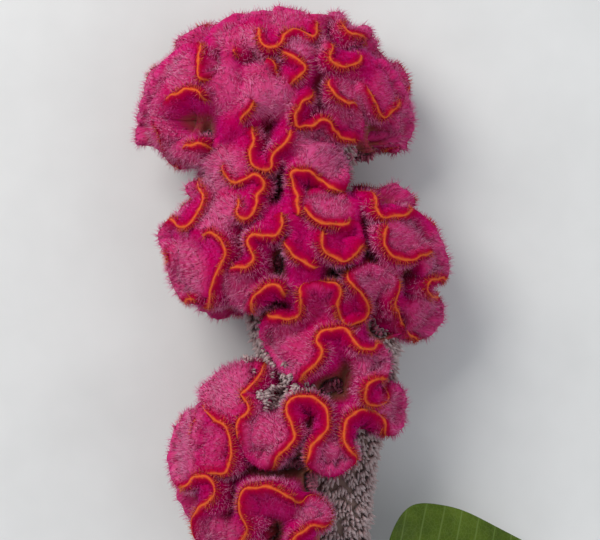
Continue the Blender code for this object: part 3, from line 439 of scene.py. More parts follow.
# Stem: x, y, z of its middle and its radius, from under the rachis to the cut end
STEM_STATIONS = (
    (12.0, -112.0, 0.0, 5.9),
    (12.0, -126.0, -0.6, 5.8),
    (11.6, -142.0, -2.8, 5.6),
    (10.4, -165.0, -7.6, 5.5),
    (8.6, -190.0, -13.9, 5.4),
    (6.8, -216.0, -21.0, 5.3),
    (5.6, -238.0, -26.8, 5.2),
    (5.2, -250.0, -28.6, 5.2),
)
STEM_SIDES = 72
STEM_RINGS = 130

# Ribs round the stem, how deep the grooves between them are as a share of the radius, and the power
# that widens the grooves
STEM_RIBS = 12
STEM_GROOVE = 0.055
STEM_GROOVE_POWER = 1.5

# Swelling of the stem where a leaf is attached: its share of the radius and its half length
STEM_SWELL = 0.06
STEM_SWELL_LENGTH = 3.0

# Leaves: the height on the stem where each is attached, which way it heads over the surface in
# degrees from +X, its length, its half width, its drop below the attachment and its roll
LEAVES = (
    (-124.0, 24.0, 65.0, 27.0, 16.0, -20.0),
    (-146.0, 196.0, 78.0, 15.0, 22.0, -12.0),
    (-176.0, -34.0, 82.0, 16.0, 12.0, 12.0),
    (-208.0, 214.0, 66.0, 13.0, 4.0, -8.0),
)
LEAF_STATIONS = 91
LEAF_COLUMNS = 35

# Thickness of a blade, and the share of it that is missing at the margin
LEAF_THICK = 0.7
LEAF_THINNING = 0.55

# Form of a blade: how far it waves at its margins, how often, and how far the two are out of step,
# how steeply it folds up along the rib, how it arches and falls, and the power that skews it
LEAF_WAVE = 1.3
LEAF_WAVES = 3.0
LEAF_OUT_OF_STEP = 2.0
LEAF_CHANNEL = 0.16
LEAF_ARCH = 1.4
LEAF_FALL = 1.5
BLADE_SKEW = 0.8

# Petiole: its share of the leaf's length, its half width and the share of it that is lost by the
# tip, its depth and how fast that runs out into the blade, and how far it starts inside the stem
PETIOLE_SHARE = 0.2
PETIOLE_HALF_WIDTH = 1.3
PETIOLE_TAPER = 0.9
PETIOLE_DEPTH = 1.8
PETIOLE_FADE = 5.0
PETIOLE_SUNK = 2.0

# Side veins: how far apart they leave the rib, how far they slant back a millimetre from it, their
# half width, and how far the blade bulges between them
VEIN_PITCH = 8.0
VEIN_SLANT = 0.75
VEIN_WIDTH = 0.7
QUILT_RISE = 0.35

# Rib: its half width, the share of it that is lost by the tip, how far it is let in on the upper
# side, and how far it stands out on the lower side
RIB_WIDTH = 1.1
RIB_FADE = 0.7
RIB_LET_IN = 0.25
RIB_PROUD = 0.7

# Stage, in metres: half the floor's side, the sky's colour and strength
FLOOR_HALF = 1.5
SKY_COLOUR = (0.86, 0.92, 1.0)
SKY_STRENGTH = 0.55

# Soft square lights: name, place from the bloom, size, power and colour
LIGHTS = (
    ("key", (-0.45, 0.5, 0.75), 0.55, 9.0, (1.0, 0.98, 0.95)),
    ("fill", (0.7, -0.2, 0.6), 0.8, 2.0, (0.95, 0.97, 1.0)),
)

# Camera, in metres: its frame is FRAME_WIDTH wide at this height above the bloom's middle plane,
# and it stands CAMERA_DISTANCE above that. Its sensor, in millimetres.
CAMERA_DISTANCE = 0.7
FRAME_WIDTH = 0.2
FRAME_HEIGHT_ABOVE = 0.02
CLIP_START = 0.01
SENSOR_WIDTH = 36.0

# Linear colours of the comb by depth below the lip in millimetres, the depth at the ramp's end, and
# how much deeper than it lies a place can be coloured where the edge is narrow
# From 7 mm down the colours darken and turn brown: partly the flesh's own colour deep in the folds,
# partly painted shade of the valleys
COMB_BANDS = (
    (0.0, (0.57, 0.112, 0.023)), (0.3, (0.53, 0.08, 0.023)), (0.6, (0.42, 0.022, 0.021)),
    (1.05, (0.34, 0.003, 0.025)), (2.2, (0.32, 0.0, 0.037)), (4.0, (0.37, 0.0, 0.062)),
    (7.0, (0.44, 0.0, 0.10)), (11.0, (0.38, 0.003, 0.08)), (15.0, (0.30, 0.035, 0.05)),
    (21.0, (0.27, 0.10, 0.065)),
)
DEPTH_SCALE = 26.0
EDGE_SWING = 0.4

# Linear colours of the comb's streaks, shades and pale lobes, of its sheen, and of the tips of
# bristles and teeth
STREAK_COLOUR = (0.54, 0.015, 0.17)
SHADE_COLOUR = (0.18, 0.0, 0.03)
# Pale colour: partly pale hair, partly painted light on raised lobes and outer bends, and a painted
# sheen towards the outline
PALE_COLOUR = (0.54, 0.075, 0.21)
SHEEN_TINT = (1.0, 0.1, 0.4)
BRISTLE_TIP_COLOUR = (0.80, 0.19, 0.37)
TOOTH_TIP_COLOUR = (0.80, 0.16, 0.14)

# Noises of the comb: of the edge's width and of the streaks, in waves a millimetre along the ridge
# and down the flank, and of the patches and the even mottle, a metre
EDGE_WAVES = (0.45, 0.5)
STREAK_WAVES = (1.9, 0.22)
PATCH_SCALE = 90.0
MOTTLE_SCALE = 650.0

# How a noise sets a share: the noise from and to, and the share from and to. These are the factor
# on the edge's depth, the bright and the dark streaks, how patches thin the streaks, and how
# streaks and patches thin the paleness.
EDGE_FACTORS = (0.3, 0.72, 0.75, 1.9)
BRIGHT_STREAKS = (0.42, 0.68, 0.0, 1.0)
DARK_STREAKS = (0.45, 0.25, 0.0, 0.35)
PATCHED_STREAKS = (0.35, 0.65, 0.1, 0.8)
STREAKED_PALENESS = (0.3, 0.6, 0.35, 1.0)
PATCHED_PALENESS = (0.3, 0.6, 0.65, 1.0)

# Depths between which bright streaks and paleness begin, and between which they end
STREAKS_BEGIN = (1.6, 4.5)
STREAKS_END = (16.0, 9.0)
PALENESS_BEGINS = (1.0, 3.4)
PALENESS_ENDS = (16.0, 8.0)

# Tips of the bristles: how far along them the colour turns, how paleness and a bristle's own tone
# set the share of it, each from and to, and the depths between which it goes from teeth to bristles
TIP_REACH = (0.0, 0.8)
TIP_PALENESS = (0.0, 0.6, 0.05, 0.85)
TIP_TONES = (0.0, 1.0, 0.4, 1.0)
TIP_DEPTHS = (0.9, 1.8)

# Linear colours of tepals at the root, in the middle and at the tip, with their places on the ramp
TEPAL_STOPS = (0.0, 0.45, 0.85)
CHAFF_COLOURS = ((0.05, 0.003, 0.012), (0.16, 0.012, 0.04), (0.42, 0.10, 0.16))
TEPAL_COLOURS = ((0.23, 0.12, 0.115), (0.31, 0.195, 0.19), (0.46, 0.345, 0.34))

# How much a tepal's own tone and its mottle shift its place on the ramp, and the middle of each
TONE_SHIFT = 0.25
TONE_MIDDLE = 0.12
MOTTLE_SHIFT = 0.2
MOTTLE_MIDDLE = 0.1

# Ramps of linear colours over noise: skin of the rachis, stem, leaf and floor
RACHIS_RAMP = ((0.3, (0.15, 0.08, 0.07)), (0.5, (0.20, 0.12, 0.10)), (0.7, (0.25, 0.17, 0.14)))
STEM_RAMP = ((0.25, (0.10, 0.16, 0.03)), (0.5, (0.19, 0.27, 0.06)), (0.75, (0.32, 0.38, 0.14)))
LEAF_RAMP = ((0.3, (0.036, 0.062, 0.004)), (0.5, (0.055, 0.088, 0.006)), (0.72, (0.082, 0.122, 0.011)))
FLOOR_RAMP = ((0.3, (0.60, 0.60, 0.59)), (0.7, (0.64, 0.64, 0.63)))

# Stem: colour of its blush and the share of it, the heights in the part's frame between which it
# comes, and the colour and the heights of the cut face
BLUSH_COLOUR = (0.30, 0.06, 0.07)
BLUSH_SHARE = 0.7
BLUSH_HEIGHTS = (-0.10, -0.03)
PITH_COLOUR = (0.42, 0.45, 0.22)
PITH_HEIGHTS = (-0.1698, -0.1695)
FIBRE_STRETCH = (1.0, 0.07, 1.0)

# Leaf: colours of veins and underside and how much of each shows, and how strong the side veins
# and the fine net between them are beside the rib
VEIN_COLOUR = (0.16, 0.23, 0.06)
VEIN_SHARE = 0.55
UNDERSIDE_COLOUR = (0.12, 0.17, 0.06)
UNDERSIDE_SHARE = 0.45
SIDE_VEIN_STRENGTH = 0.6
NET_STRENGTH = 0.25

# Folded ridges of the front, read along the comb. Each point is x, y and how far it stands
# above (or, where the lip rolls away, below) the outer surface.
MAIN_RIDGE = (
    (17.0, 27.5, -5), (22.0, 26.0, -2), (24.5, 23.5, 0), (25.0, 20.3, 0), (27.0, 17.7, 0),
    (30.7, 17.7, 0), (35.3, 18.5, 0), (39.5, 18.5, -3), (44.0, 14.5, -4), (47.5, 9.5, -4),
    (49.0, 5.0, -4), (50.2, 1.3, -3), (49.5, -2.2, -1), (46.5, -2.8, 0), (43.3, -3.5, 0),
    (42.3, -6.5, 0), (44.0, -8.8, 0), (47.3, -10.0, -1), (49.0, -13.0, -3), (48.2, -17.5, -3),
    (45.2, -21.5, -3), (40.7, -23.3, -1), (37.0, -21.7, 0.5), (34.3, -18.3, 0), (32.5, -14.3, 0),
    (31.3, -10.6, 0), (32.3, -6.7, 0), (31.6, -3.0, -2), (28.0, -0.3, -3), (23.3, 1.0, -3),
    (19.0, 0.0, -3), (16.7, -2.7, -1), (17.7, -4.8, 0), (20.0, -7.8, 0), (22.0, -11.0, 0),
    (22.3, -14.0, 0), (20.0, -16.7, 0), (16.3, -17.7, 0), (13.3, -15.7, 0), (12.3, -12.0, 0),
    (13.0, -8.3, 0), (11.3, -5.3, -1), (6.7, -5.0, -2), (1.7, -6.0, -2), (0.3, -8.7, 0),
    (0.7, -11.7, 0), (-0.7, -14.7, 0), (-3.7, -16.3, 0), (-7.7, -15.7, 0), (-10.3, -16.0, -1),
    (-12.7, -18.5, -4), (-12.5, -22.5, -6), (-10.5, -27.0, -6), (-7.3, -31.5, -5),
    (-3.5, -35.2, -4), (-0.5, -35.8, -1), (2.3, -33.0, 0), (6.0, -30.0, 0), (7.0, -26.7, 0),
    (5.7, -23.7, 0), (7.0, -20.9, 0), (10.7, -19.4, 0), (14.7, -19.9, 0), (17.3, -22.3, 0),
    (19.5, -25.5, 0), (23.0, -26.4, 0), (26.5, -26.3, -2), (29.0, -28.5, -4), (29.3, -32.0, -4),
    (28.0, -35.2, -1), (24.7, -36.2, 0), (22.0, -38.5, 0), (21.5, -41.8, 0), (23.3, -44.6, 0),
    (26.7, -44.6, 0), (29.0, -42.0, -2), (32.0, -39.3, -4), (35.0, -42.5, -5), (35.5, -47.5, -5),
    (34.0, -52.5, -5), (31.3, -54.5, -3), (28.7, -51.5, -1), (26.3, -48.5, 0), (22.7, -46.6, 0),
    (18.7, -47.2, 0), (15.7, -50.0, 0), (14.3, -53.3, 0), (14.9, -56.7, 0), (16.7, -60.0, 0),
    (17.0, -63.5, -2), (14.0, -66.0, -4), (9.3, -66.8, -4), (5.0, -65.2, -3), (3.0, -61.8, 0),
    (3.7, -58.3, 0), (6.5, -55.0, 0), (9.0, -51.5, 0), (8.7, -46.8, 0), (6.0, -43.2, 0),
    (2.0, -42.0, 0), (-1.7, -42.4, 0), (-4.0, -44.3, 0), (-3.8, -47.7, 0), (-2.5, -51.2, 0),
    (-1.7, -54.5, 0), (-3.2, -57.2, 0), (-6.5, -59.8, 0), (-9.0, -62.8, -1), (-12.7, -64.3, -4),
    (-16.7, -62.5, -4), (-19.0, -58.3, -2), (-20.3, -53.3, 0), (-19.6, -49.6, 0), (-17.0, -46.2, 0),
    (-16.8, -43.7, 0), (-19.3, -41.4, 0), (-17.3, -39.6, 0), (-14.7, -37.3, 0), (-13.3, -33.9, -2),
    (-16.3, -32.0, -5), (-21.7, -32.5, -6), (-27.0, -35.0, -6), (-31.0, -38.7, -5),
    (-32.8, -42.5, -3), (-31.0, -46.5, 0), (-28.0, -49.5, 0), (-24.0, -52.0, 0), (-22.7, -56.7, 0),
    (-22.5, -61.3, 0), (-24.0, -65.8, 0), (-28.0, -67.0, 0), (-32.0, -66.3, -1), (-34.5, -63.5, -3),
    (-35.5, -59.7, -3), (-35.7, -55.7, -2), (-35.0, -51.7, -2), (-35.7, -48.4, -3),
    (-38.7, -49.5, -6), (-41.8, -54.0, -7), (-43.6, -59.5, -7), (-44.2, -65.0, -6),
    (-43.0, -69.5, -4), (-40.2, -72.2, -1), (-37.0, -71.2, 0), (-34.5, -68.8, 0), (-31.0, -68.3, 0),
    (-28.3, -70.8, 0), (-28.0, -74.0, 0), (-30.3, -76.8, 0), (-33.3, -79.3, 0), (-35.3, -82.5, 0),
    (-35.8, -86.5, 0), (-34.5, -91.0, -1), (-31.0, -94.3, -3), (-26.5, -95.0, -3),
    (-22.0, -92.5, -1), (-19.0, -89.5, 0), (-17.5, -86.5, 0), (-18.0, -82.7, 0), (-19.7, -78.7, 0),
    (-19.3, -74.5, 0), (-16.3, -71.7, 0), (-11.7, -71.3, 0), (-7.3, -72.2, 0), (-3.3, -74.3, 0),
    (0.7, -76.2, -3), (5.3, -77.3, -4), (8.8, -80.3, -4), (7.5, -83.5, -1), (3.7, -84.4, 0),
    (0.5, -86.3, 0), (-2.0, -89.3, 0), (-3.0, -93.3, 0), (-2.5, -97.0, -2), (1.0, -99.5, -4),
    (5.0, -98.0, -5),
)

LEFT_RIDGE = (
    (-20.5, 39.5, -4), (-24.0, 37.3, -2), (-25.0, 34.0, 0), (-23.7, 30.5, 0), (-21.0, 29.0, 0),
    (-18.0, 30.3, 0), (-14.7, 31.2, 0), (-12.0, 29.3, 0), (-12.3, 26.8, 0), (-14.3, 24.3, 0),
    (-14.5, 21.3, 0), (-15.5, 18.5, 0), (-18.3, 17.0, 0), (-20.4, 18.9, 0), (-20.9, 21.7, -1),
    (-23.5, 23.5, -4), (-27.5, 21.8, -5), (-31.0, 18.3, -5), (-33.0, 14.5, -3), (-31.8, 12.3, -1),
    (-29.0, 12.5, 0), (-26.3, 10.2, 0), (-24.3, 6.5, 0), (-25.5, 2.5, 0), (-27.5, -1.5, 0),
    (-29.0, -5.7, 0), (-29.7, -9.5, 0), (-32.0, -11.7, -2), (-35.3, -9.2, 0), (-38.7, -9.8, -1),
    (-41.7, -6.5, -3), (-43.7, -1.5, -3), (-43.7, 3.3, -1), (-44.3, 6.3, -1), (-46.5, 8.3, -4),
    (-47.5, 11.5, -4), (-45.7, 14.7, -2), (-42.5, 16.0, -1), (-38.7, 14.2, 0), (-36.0, 16.0, 0),
    (-33.5, 19.5, 0), (-32.0, 23.3, 0), (-33.0, 26.7, 0), (-36.0, 28.5, -3), (-39.3, 27.5, -5),
    (-40.5, 24.5, -6),
)

UNDER_LEFT_RIDGE = (
    (-10.3, 22.0, -5), (-7.3, 18.7, -2), (-6.2, 14.7, 0), (-7.7, 11.5, 0), (-11.3, 11.2, 0),
    (-15.0, 11.6, 0), (-17.0, 9.3, 0), (-15.9, 6.5, 0), (-15.1, 3.7, 0), (-17.3, 1.2, 0),
    (-20.7, 0.7, 0), (-23.3, -1.3, -2), (-23.6, -5.5, -4), (-21.3, -9.7, -5), (-18.3, -12.5, -3),
    (-15.9, -10.5, 0), (-13.5, -7.3, 0), (-10.5, -5.1, 0), (-7.0, -5.8, 0), (-4.3, -8.5, 0),
    (-3.2, -12.0, -1),
)

NECK_RIDGE = (
    (-36.3, 29.5, -6), (-34.0, 33.3, -6), (-32.0, 37.3, -6), (-29.7, 41.3, -5), (-26.3, 45.0, -5),
    (-22.0, 47.3, -4), (-18.0, 47.3, -2), (-15.7, 45.0, 0), (-15.7, 41.5, 0), (-16.3, 38.0, 0),
    (-15.3, 34.7, 0), (-12.3, 33.4, 0), (-9.5, 34.3, 0), (-8.9, 37.5, 0), (-7.0, 40.3, 0),
    (-4.3, 42.3, 0), (-2.5, 45.2, -1), (0.5, 47.0, -3), (4.5, 46.3, -4), (8.7, 43.7, -5),
    (12.3, 39.3, -5), (15.0, 34.7, -5), (15.8, 30.0, -3), (13.3, 26.9, -1), (10.3, 27.4, 0),
    (7.3, 29.4, 0), (4.0, 31.6, 0), (0.3, 33.0, 0), (-2.4, 31.7, 0), (-2.3, 28.3, 0),
    (-1.0, 24.7, 0), (-0.7, 21.0, 0), (-1.3, 16.7, 0), (-2.3, 13.3, -4),
)

MIDDLE_RIDGE = (
    (7.5, -2.7, -4), (6.3, -0.7, -1), (3.7, 1.4, 0), (0.3, 3.4, 0), (-2.4, 5.1, 0), (-3.7, 8.0, 0),
    (-3.3, 11.2, -3), (-0.8, 13.8, -4), (2.7, 14.7, -4), (5.7, 13.3, -2), (6.7, 10.3, 0),
    (7.7, 7.3, 0), (10.0, 4.7, 0), (13.7, 3.3, 0), (17.3, 4.7, 0), (19.7, 8.0, 0), (20.4, 11.8, -4),
    (18.3, 14.7, -3), (15.0, 14.8, 0), (11.3, 15.0, 0), (7.7, 15.4, 0), (4.4, 17.0, 0),
    (2.3, 19.8, 0), (1.8, 22.7, -2), (4.3, 25.0, -3), (8.7, 26.0, -3), (13.0, 24.7, -3),
    (16.7, 22.0, -2), (18.7, 18.7, -4),
)

RIGHT_CUP_RIDGE = (
    (33.0, 16.3, -2), (29.3, 14.5, 0), (27.4, 11.0, 1), (28.3, 7.0, 1), (31.3, 4.3, 1),
    (35.0, 3.4, 1), (38.7, 4.3, 1), (42.3, 5.7, 0), (45.0, 8.0, -2), (45.5, 11.5, -3),
)

TOP_LEFT_RIDGE = (
    (-30.5, 53.0, -3), (-32.0, 56.8, 0), (-34.0, 59.5, 0), (-37.3, 59.8, 0), (-41.3, 58.7, 0),
    (-44.3, 56.7, -1), (-47.3, 54.3, -3), (-50.0, 52.3, -3), (-49.3, 49.8, -1), (-47.8, 46.7, 0),
    (-46.7, 42.3, 0), (-45.0, 38.0, 0), (-42.3, 35.8, 0), (-40.8, 38.5, 0), (-38.7, 41.5, 0),
    (-35.0, 42.2, 0), (-31.3, 42.0, 0), (-28.5, 41.0, -4),
)

CROWN_LEFT_RIDGE = (
    (-52.0, 38.0, -5), (-55.0, 40.5, -5), (-56.0, 45.5, -5), (-55.5, 51.0, -5), (-53.7, 57.0, -5),
    (-50.5, 63.0, -4), (-47.0, 68.7, -4), (-42.0, 73.3, -4), (-37.0, 75.7, -3), (-33.7, 73.7, -1),
    (-33.5, 70.3, 0), (-33.6, 67.0, 0), (-33.0, 63.8, 0), (-30.3, 62.3, -1), (-27.5, 64.0, -4),
)

SMALL_LEFT_RIDGE = (
    (-26.5, 55.0, -4), (-23.3, 57.4, -4), (-19.7, 57.7, -4), (-17.0, 56.3, -2), (-16.7, 53.7, 0),
    (-18.3, 51.2, 0), (-20.9, 49.6, 0), (-24.0, 49.0, -3),
)

CROWN_EDGE_RIDGE = (
    (-27.5, 68.0, -5), (-31.0, 74.5, -4), (-30.0, 79.7, -4), (-25.7, 84.0, -4), (-20.7, 86.3, -4),
    (-17.0, 84.0, -4), (-16.7, 80.3, -4), (-19.0, 77.3, -4), (-20.7, 74.3, -2), (-21.7, 71.3, 0),
    (-24.5, 69.0, -4),
)

CROWN_RIDGE = (
    (-14.7, 68.5, -5), (-15.5, 73.3, -3), (-15.3, 77.5, -2), (-13.7, 79.7, 0), (-13.2, 76.7, 0),
    (-11.5, 74.0, 0), (-8.7, 73.6, 0), (-6.3, 75.3, 0), (-4.9, 78.0, 0), (-2.0, 79.5, -1),
    (1.3, 78.5, -1), (4.0, 77.4, 0), (5.3, 79.4, 0), (5.0, 82.5, 0), (2.7, 85.0, -2),
    (-1.0, 87.3, -4), (-5.7, 88.7, -5), (-10.7, 88.0, -5), (-14.5, 86.3, -5),
)

CENTRE_RIDGE = (
    (-17.0, 66.5, -5), (-13.5, 68.3, -3), (-10.3, 67.7, -1), (-8.4, 65.4, -3), (-5.3, 63.4, -4),
    (-2.3, 63.3, 0), (0.3, 64.4, 0), (1.4, 66.7, 0), (-0.4, 69.0, 0), (-3.0, 71.0, 0),
    (-5.2, 72.7, -1), (-3.7, 75.0, -3), (0.3, 75.7, -4), (4.0, 76.7, -4), (8.0, 76.3, -3),
    (10.2, 74.3, 0), (9.7, 71.3, 0), (11.0, 68.6, 0), (14.0, 67.4, 0), (17.0, 68.0, 0),
    (19.8, 69.4, 0), (22.3, 71.0, -3), (25.3, 70.0, -4), (25.8, 66.7, -1), (25.3, 63.5, -2),
)

CROWN_RIGHT_RIDGE = (
    (6.0, 87.0, -5), (10.3, 88.0, -5), (14.0, 86.7, -4), (13.8, 82.7, -1), (15.0, 80.3, 0),
    (17.7, 79.0, 0), (20.7, 79.2, -1), (23.3, 80.3, -4), (23.7, 83.3, -6), (20.7, 85.3, -6),
)

FRONT_RIDGE = (
    (-18.5, 58.0, -5), (-14.7, 60.7, -5), (-10.0, 62.0, -4), (-5.0, 62.3, -4), (-0.3, 61.7, -4),
    (2.8, 59.5, -2), (2.0, 56.7, 0), (-0.3, 54.0, 0), (-1.6, 50.7, 0), (-0.5, 48.0, 0),
    (2.3, 47.7, 0), (5.0, 48.7, 0), (7.7, 49.7, 0), (10.1, 48.6, 0), (11.4, 46.3, 0),
    (13.7, 44.4, 0), (17.3, 44.1, 0), (20.3, 45.3, -3), (20.7, 49.3, -3), (19.3, 53.0, -2),
    (16.3, 55.3, 0), (12.9, 56.7, 0), (11.0, 59.3, 0), (11.3, 62.0, -2), (14.3, 63.7, -4),
    (18.3, 63.3, -4), (21.3, 60.7, -1), (24.0, 57.0, 0), (25.7, 53.7, 0), (27.7, 51.1, 0),
    (30.0, 53.0, 0), (33.0, 55.0, -1), (36.3, 56.0, -4), (38.0, 52.7, -6), (37.0, 48.5, -7),
)

CROWN_FAR_RIGHT_RIDGE = (
    (22.0, 73.5, -5), (26.5, 71.5, -6), (31.0, 67.5, -6), (34.5, 62.3, -6), (37.3, 56.7, -7),
    (38.7, 50.5, -7), (37.3, 45.3, -8), (34.3, 41.7, -8), (33.5, 46.5, -6), (31.0, 49.0, -5),
)

FRONT_RIDGES = (
    MAIN_RIDGE, LEFT_RIDGE, UNDER_LEFT_RIDGE, NECK_RIDGE, MIDDLE_RIDGE, RIGHT_CUP_RIDGE,
    TOP_LEFT_RIDGE, CROWN_LEFT_RIDGE, SMALL_LEFT_RIDGE, CROWN_EDGE_RIDGE, CROWN_RIDGE,
    CENTRE_RIDGE, CROWN_RIGHT_RIDGE, FRONT_RIDGE, CROWN_FAR_RIGHT_RIDGE,
)


def placed(points):
    """Bloom-frame millimetres to the part's own frame in metres."""
    return (np.asarray(points, float) + BLOOM_CENTRE) * MM


def unit(vectors):
    """Vectors scaled to length one."""
    return vectors / np.maximum(np.linalg.norm(vectors, axis=-1, keepdims=True), 1e-9)


def add_piece(name, points, faces, material, uv, layers):
    """Mesh object from points in the bloom's frame and arrays of faces with as many corners each.
    uv is a map of the points, or None, and layers are named values at the points."""
    mesh = bpy.data.meshes.new(name)
    corners = np.concatenate([part.ravel() for part in faces])
    sizes = np.concatenate([np.full(len(part), part.shape[1]) for part in faces])
    mesh.vertices.add(len(points))
    mesh.vertices.foreach_set("co", placed(points).ravel())
    mesh.loops.add(len(corners))
    mesh.loops.foreach_set("vertex_index", corners)
    mesh.polygons.add(len(sizes))
    mesh.polygons.foreach_set("loop_start", np.cumsum(sizes) - sizes)
    mesh.polygons.foreach_set("use_smooth", np.ones(len(sizes), bool))
    if uv is not None:
        uv_map = mesh.uv_layers.new(name="UVMap")
        uv_map.uv.foreach_set("vector", uv[corners].ravel())
    for layer_name, values in layers.items():
        layer = mesh.attributes.new(layer_name, "FLOAT", "POINT")
        layer.data.foreach_set("value", values.astype(np.float32))
    mesh.update(calc_edges=True)
    mesh.materials.append(material)
    piece = bpy.data.objects.new(name, mesh)
    bpy.context.scene.collection.objects.link(piece)
    return piece


def tube_faces(count, around):
    """Faces of a closed tube of count rings with around points each, and of the fans that close its
    ends on two middle points that follow the rings."""
    i, j = np.meshgrid(np.arange(count - 1), np.arange(around), indexing="ij")
    a, b = i * around + j, i * around + (j + 1) % around
    walls = np.stack([a, b, b + around, a + around], axis=-1).reshape(-1, 4)
    j = np.arange(around)
    after = (j + 1) % around
    last = (count - 1) * around
    start = np.stack([np.full(around, count * around), after, j], axis=1)
    end = np.stack([np.full(around, count * around + 1), last + j, last + after], axis=1)
    return [walls, start, end]


def tube_points(rings):
    """Points of a closed tube: its rings and the middle of both end rings."""
    return np.vstack([rings.reshape(-1, 3), rings[0].mean(axis=0), rings[-1].mean(axis=0)])


def tube(rings, layers=None):
    """A closed tube as (points, faces, layers), where layers are arrays with one value a point."""
    return tube_points(rings), tube_faces(*rings.shape[:2]), layers or {}


def merged(parts):
    """Several (points, faces, layers) as one."""
    points, faces, first = [], [], 0
    for part_points, part_faces, _ in parts:
        points.append(part_points)
        faces += [corners + first for corners in part_faces]
        first += len(part_points)
    layers = {}
    for key in parts[0][2]:
        layers[key] = np.concatenate([part[2][key] for part in parts])
    return np.vstack(points), faces, layers


def smooth_curve(points):
    """Catmull-Rom curve through the points, as many fine points and their run along it. Columns past
    the third are carried along."""
    p = np.asarray(points, float)
    p = np.vstack([2 * p[0] - p[1], p, 2 * p[-1] - p[-2]])
    t = np.linspace(0.0, 1.0, CURVE_POINTS, endpoint=False)[None, :, None]
    a, b, c, d = p[:-3, None], p[1:-2, None], p[2:-1, None], p[3:, None]
    fine = 0.5 * (2 * b + (c - a) * t + (2 * a - 5 * b + 4 * c - d) * t**2
                  + (3 * b - a - 3 * c + d) * t**3)
    fine = np.vstack([fine.reshape(-1, p.shape[1]), p[-2][None]])
    steps = np.linalg.norm(np.diff(fine[:, :3], axis=0), axis=1)
    return fine, np.concatenate([[0.0], np.cumsum(steps)])


def even_stations(points, step):
    """Stations a step apart on the smooth curve through the points, and their run along it."""
    fine, run = smooth_curve(points)
    at = np.linspace(0.0, run[-1], int(round(run[-1] / step)) + 1)
    return np.stack([np.interp(at, run, fine[:, k]) for k in range(fine.shape[1])], axis=1), at


def waves(run, length, rng):
    """Smooth random wave along a run, about one high: the sum of sines near the given length."""
    total = np.zeros_like(run)
    for _ in range(SINES):
        total += np.sin(2.0 * np.pi * (run / (length * rng.uniform(*SINE_LENGTHS)) + rng.uniform()))
    return total / SINES_HEIGHT


def front_height(x, y):
    """Height of the front's outer surface over the middle plane: the highest of the ellipsoids."""
    best = np.full(np.shape(x), -np.inf)
    for cx, cy, half_w, half_h, middle, front, _ in SWELLS:
        inside = 1.0 - ((x - cx) / half_w) ** 2 - ((y - cy) / half_h) ** 2
        best = np.maximum(best, middle + front * np.sqrt(np.clip(inside, 0.0, None)))
    return best


def front_ridge(points):
    """Ridge points on the front swells, from x, y and the height above them, with how far the lip
    rolls away from the light as a fourth column."""
    p = np.asarray(points, float)
    z = front_height(p[:, 0], p[:, 1]) + p[:, 2]
    return np.stack([p[:, 0], p[:, 1], z, np.clip(-p[:, 2], 0.0, None)], axis=1)


def back_ridge(swell, first, last, latitude, swing, bends, seed):
    """Ridge that winds to and fro round the back of a swell, on a superellipsoid: its latitude is
    a sine of its longitude, and its bends lean over their necks and are uneven in size."""
    rng = random.Random(seed)
    stops = np.cumsum([0.0] + [rng.uniform(*BEND_LENGTHS) for _ in range(bends)])
    sizes = [swing * rng.uniform(*BEND_SIZES) for _ in range(bends + 1)]
    phase = np.arange(0.0, bends + 0.5 * BEND_STEP, BEND_STEP)
    at = np.interp(phase, np.arange(bends + 1.0), stops / stops[-1])
    bend_length = (last - first) / bends
    longitude = first + (last - first) * at - BEND_LEAN * bend_length * np.sin(2.0 * np.pi * phase)
    reach = np.interp(phase, np.arange(bends + 1.0), sizes)
    depth = latitude + reach * np.sin(np.pi * phase)
    depth = np.radians(np.clip(depth, LOWEST_LATITUDE, HIGHEST_LATITUDE))
    turn = np.radians(longitude)
    cx, cy, half_w, half_h, middle, _, back = SWELLS[swell]
    power = 2.0 / BACK_ROUNDNESS
    wide = BACK_SHRINK * np.cos(depth) ** power
    x = cx + half_w * wide * np.cos(turn)
    y = cy + half_h * wide * np.sin(turn)
    return np.stack([x, y, middle - back * np.sin(depth) ** power], axis=1)


def blurred(values, run, spread):
    """Gaussian average along the curve, which irons the folds out of it."""
    weight = np.exp(-0.5 * ((run[:, None] - run[None, :]) / spread) ** 2)
    return (weight @ values) / weight.sum(axis=1, keepdims=True)


def rachis_at(y):
    """Centre x, half width and half depth of the rachis at height y."""
    table = np.asarray(RACHIS_STATIONS)
    return [np.interp(y, table[:, 0], table[:, k]) for k in (1, 2, 3)]


def front_root(ridge, run):
    """Line in the flower's heart that a front fold grows from: the ridge with its folds ironed out,
    drawn in towards the rachis."""
    root = blurred(ridge, run, ROOT_SPREAD)
    centre, _, _ = rachis_at(root[:, 1])
    root[:, 0] = centre + ROOT_PULL * (root[:, 0] - centre)
    root[:, 1] = np.minimum(root[:, 1], ROOT_TOP + ROOT_PAST_TOP * (root[:, 1] - ROOT_TOP))
    root[:, 2] *= ROOT_DEPTH
    return root


def back_root(ridge, run, swell):
    """The same line for a back fold, drawn in towards the middle of its swell's heart."""
    centre = np.array([SWELLS[swell][0], SWELLS[swell][1], SWELLS[swell][4]])
    return centre + BACK_ROOT_PULL * (blurred(ridge, run, ROOT_SPREAD) - centre)


def at_depths(ribs, depths):
    """Points at given depths below the top of every rib, where a rib is many points from its top
    downwards and the depth is the length along it."""
    steps = np.linalg.norm(np.diff(ribs, axis=1), axis=2)
    length = np.concatenate([np.zeros((len(ribs), 1)), np.cumsum(steps, axis=1)], axis=1)
    upper = (length[:, None, :] <= depths[None, :, None]).sum(axis=2)
    upper = np.clip(upper, 1, ribs.shape[1] - 1)
    low, high = np.take_along_axis(length, upper - 1, 1), np.take_along_axis(length, upper, 1)
    share = np.clip((depths - low) / np.maximum(high - low, 1e-6), 0.0, 1.0)[..., None]
    start = np.take_along_axis(ribs, (upper - 1)[..., None], 1)
    return start + share * (np.take_along_axis(ribs, upper[..., None], 1) - start)


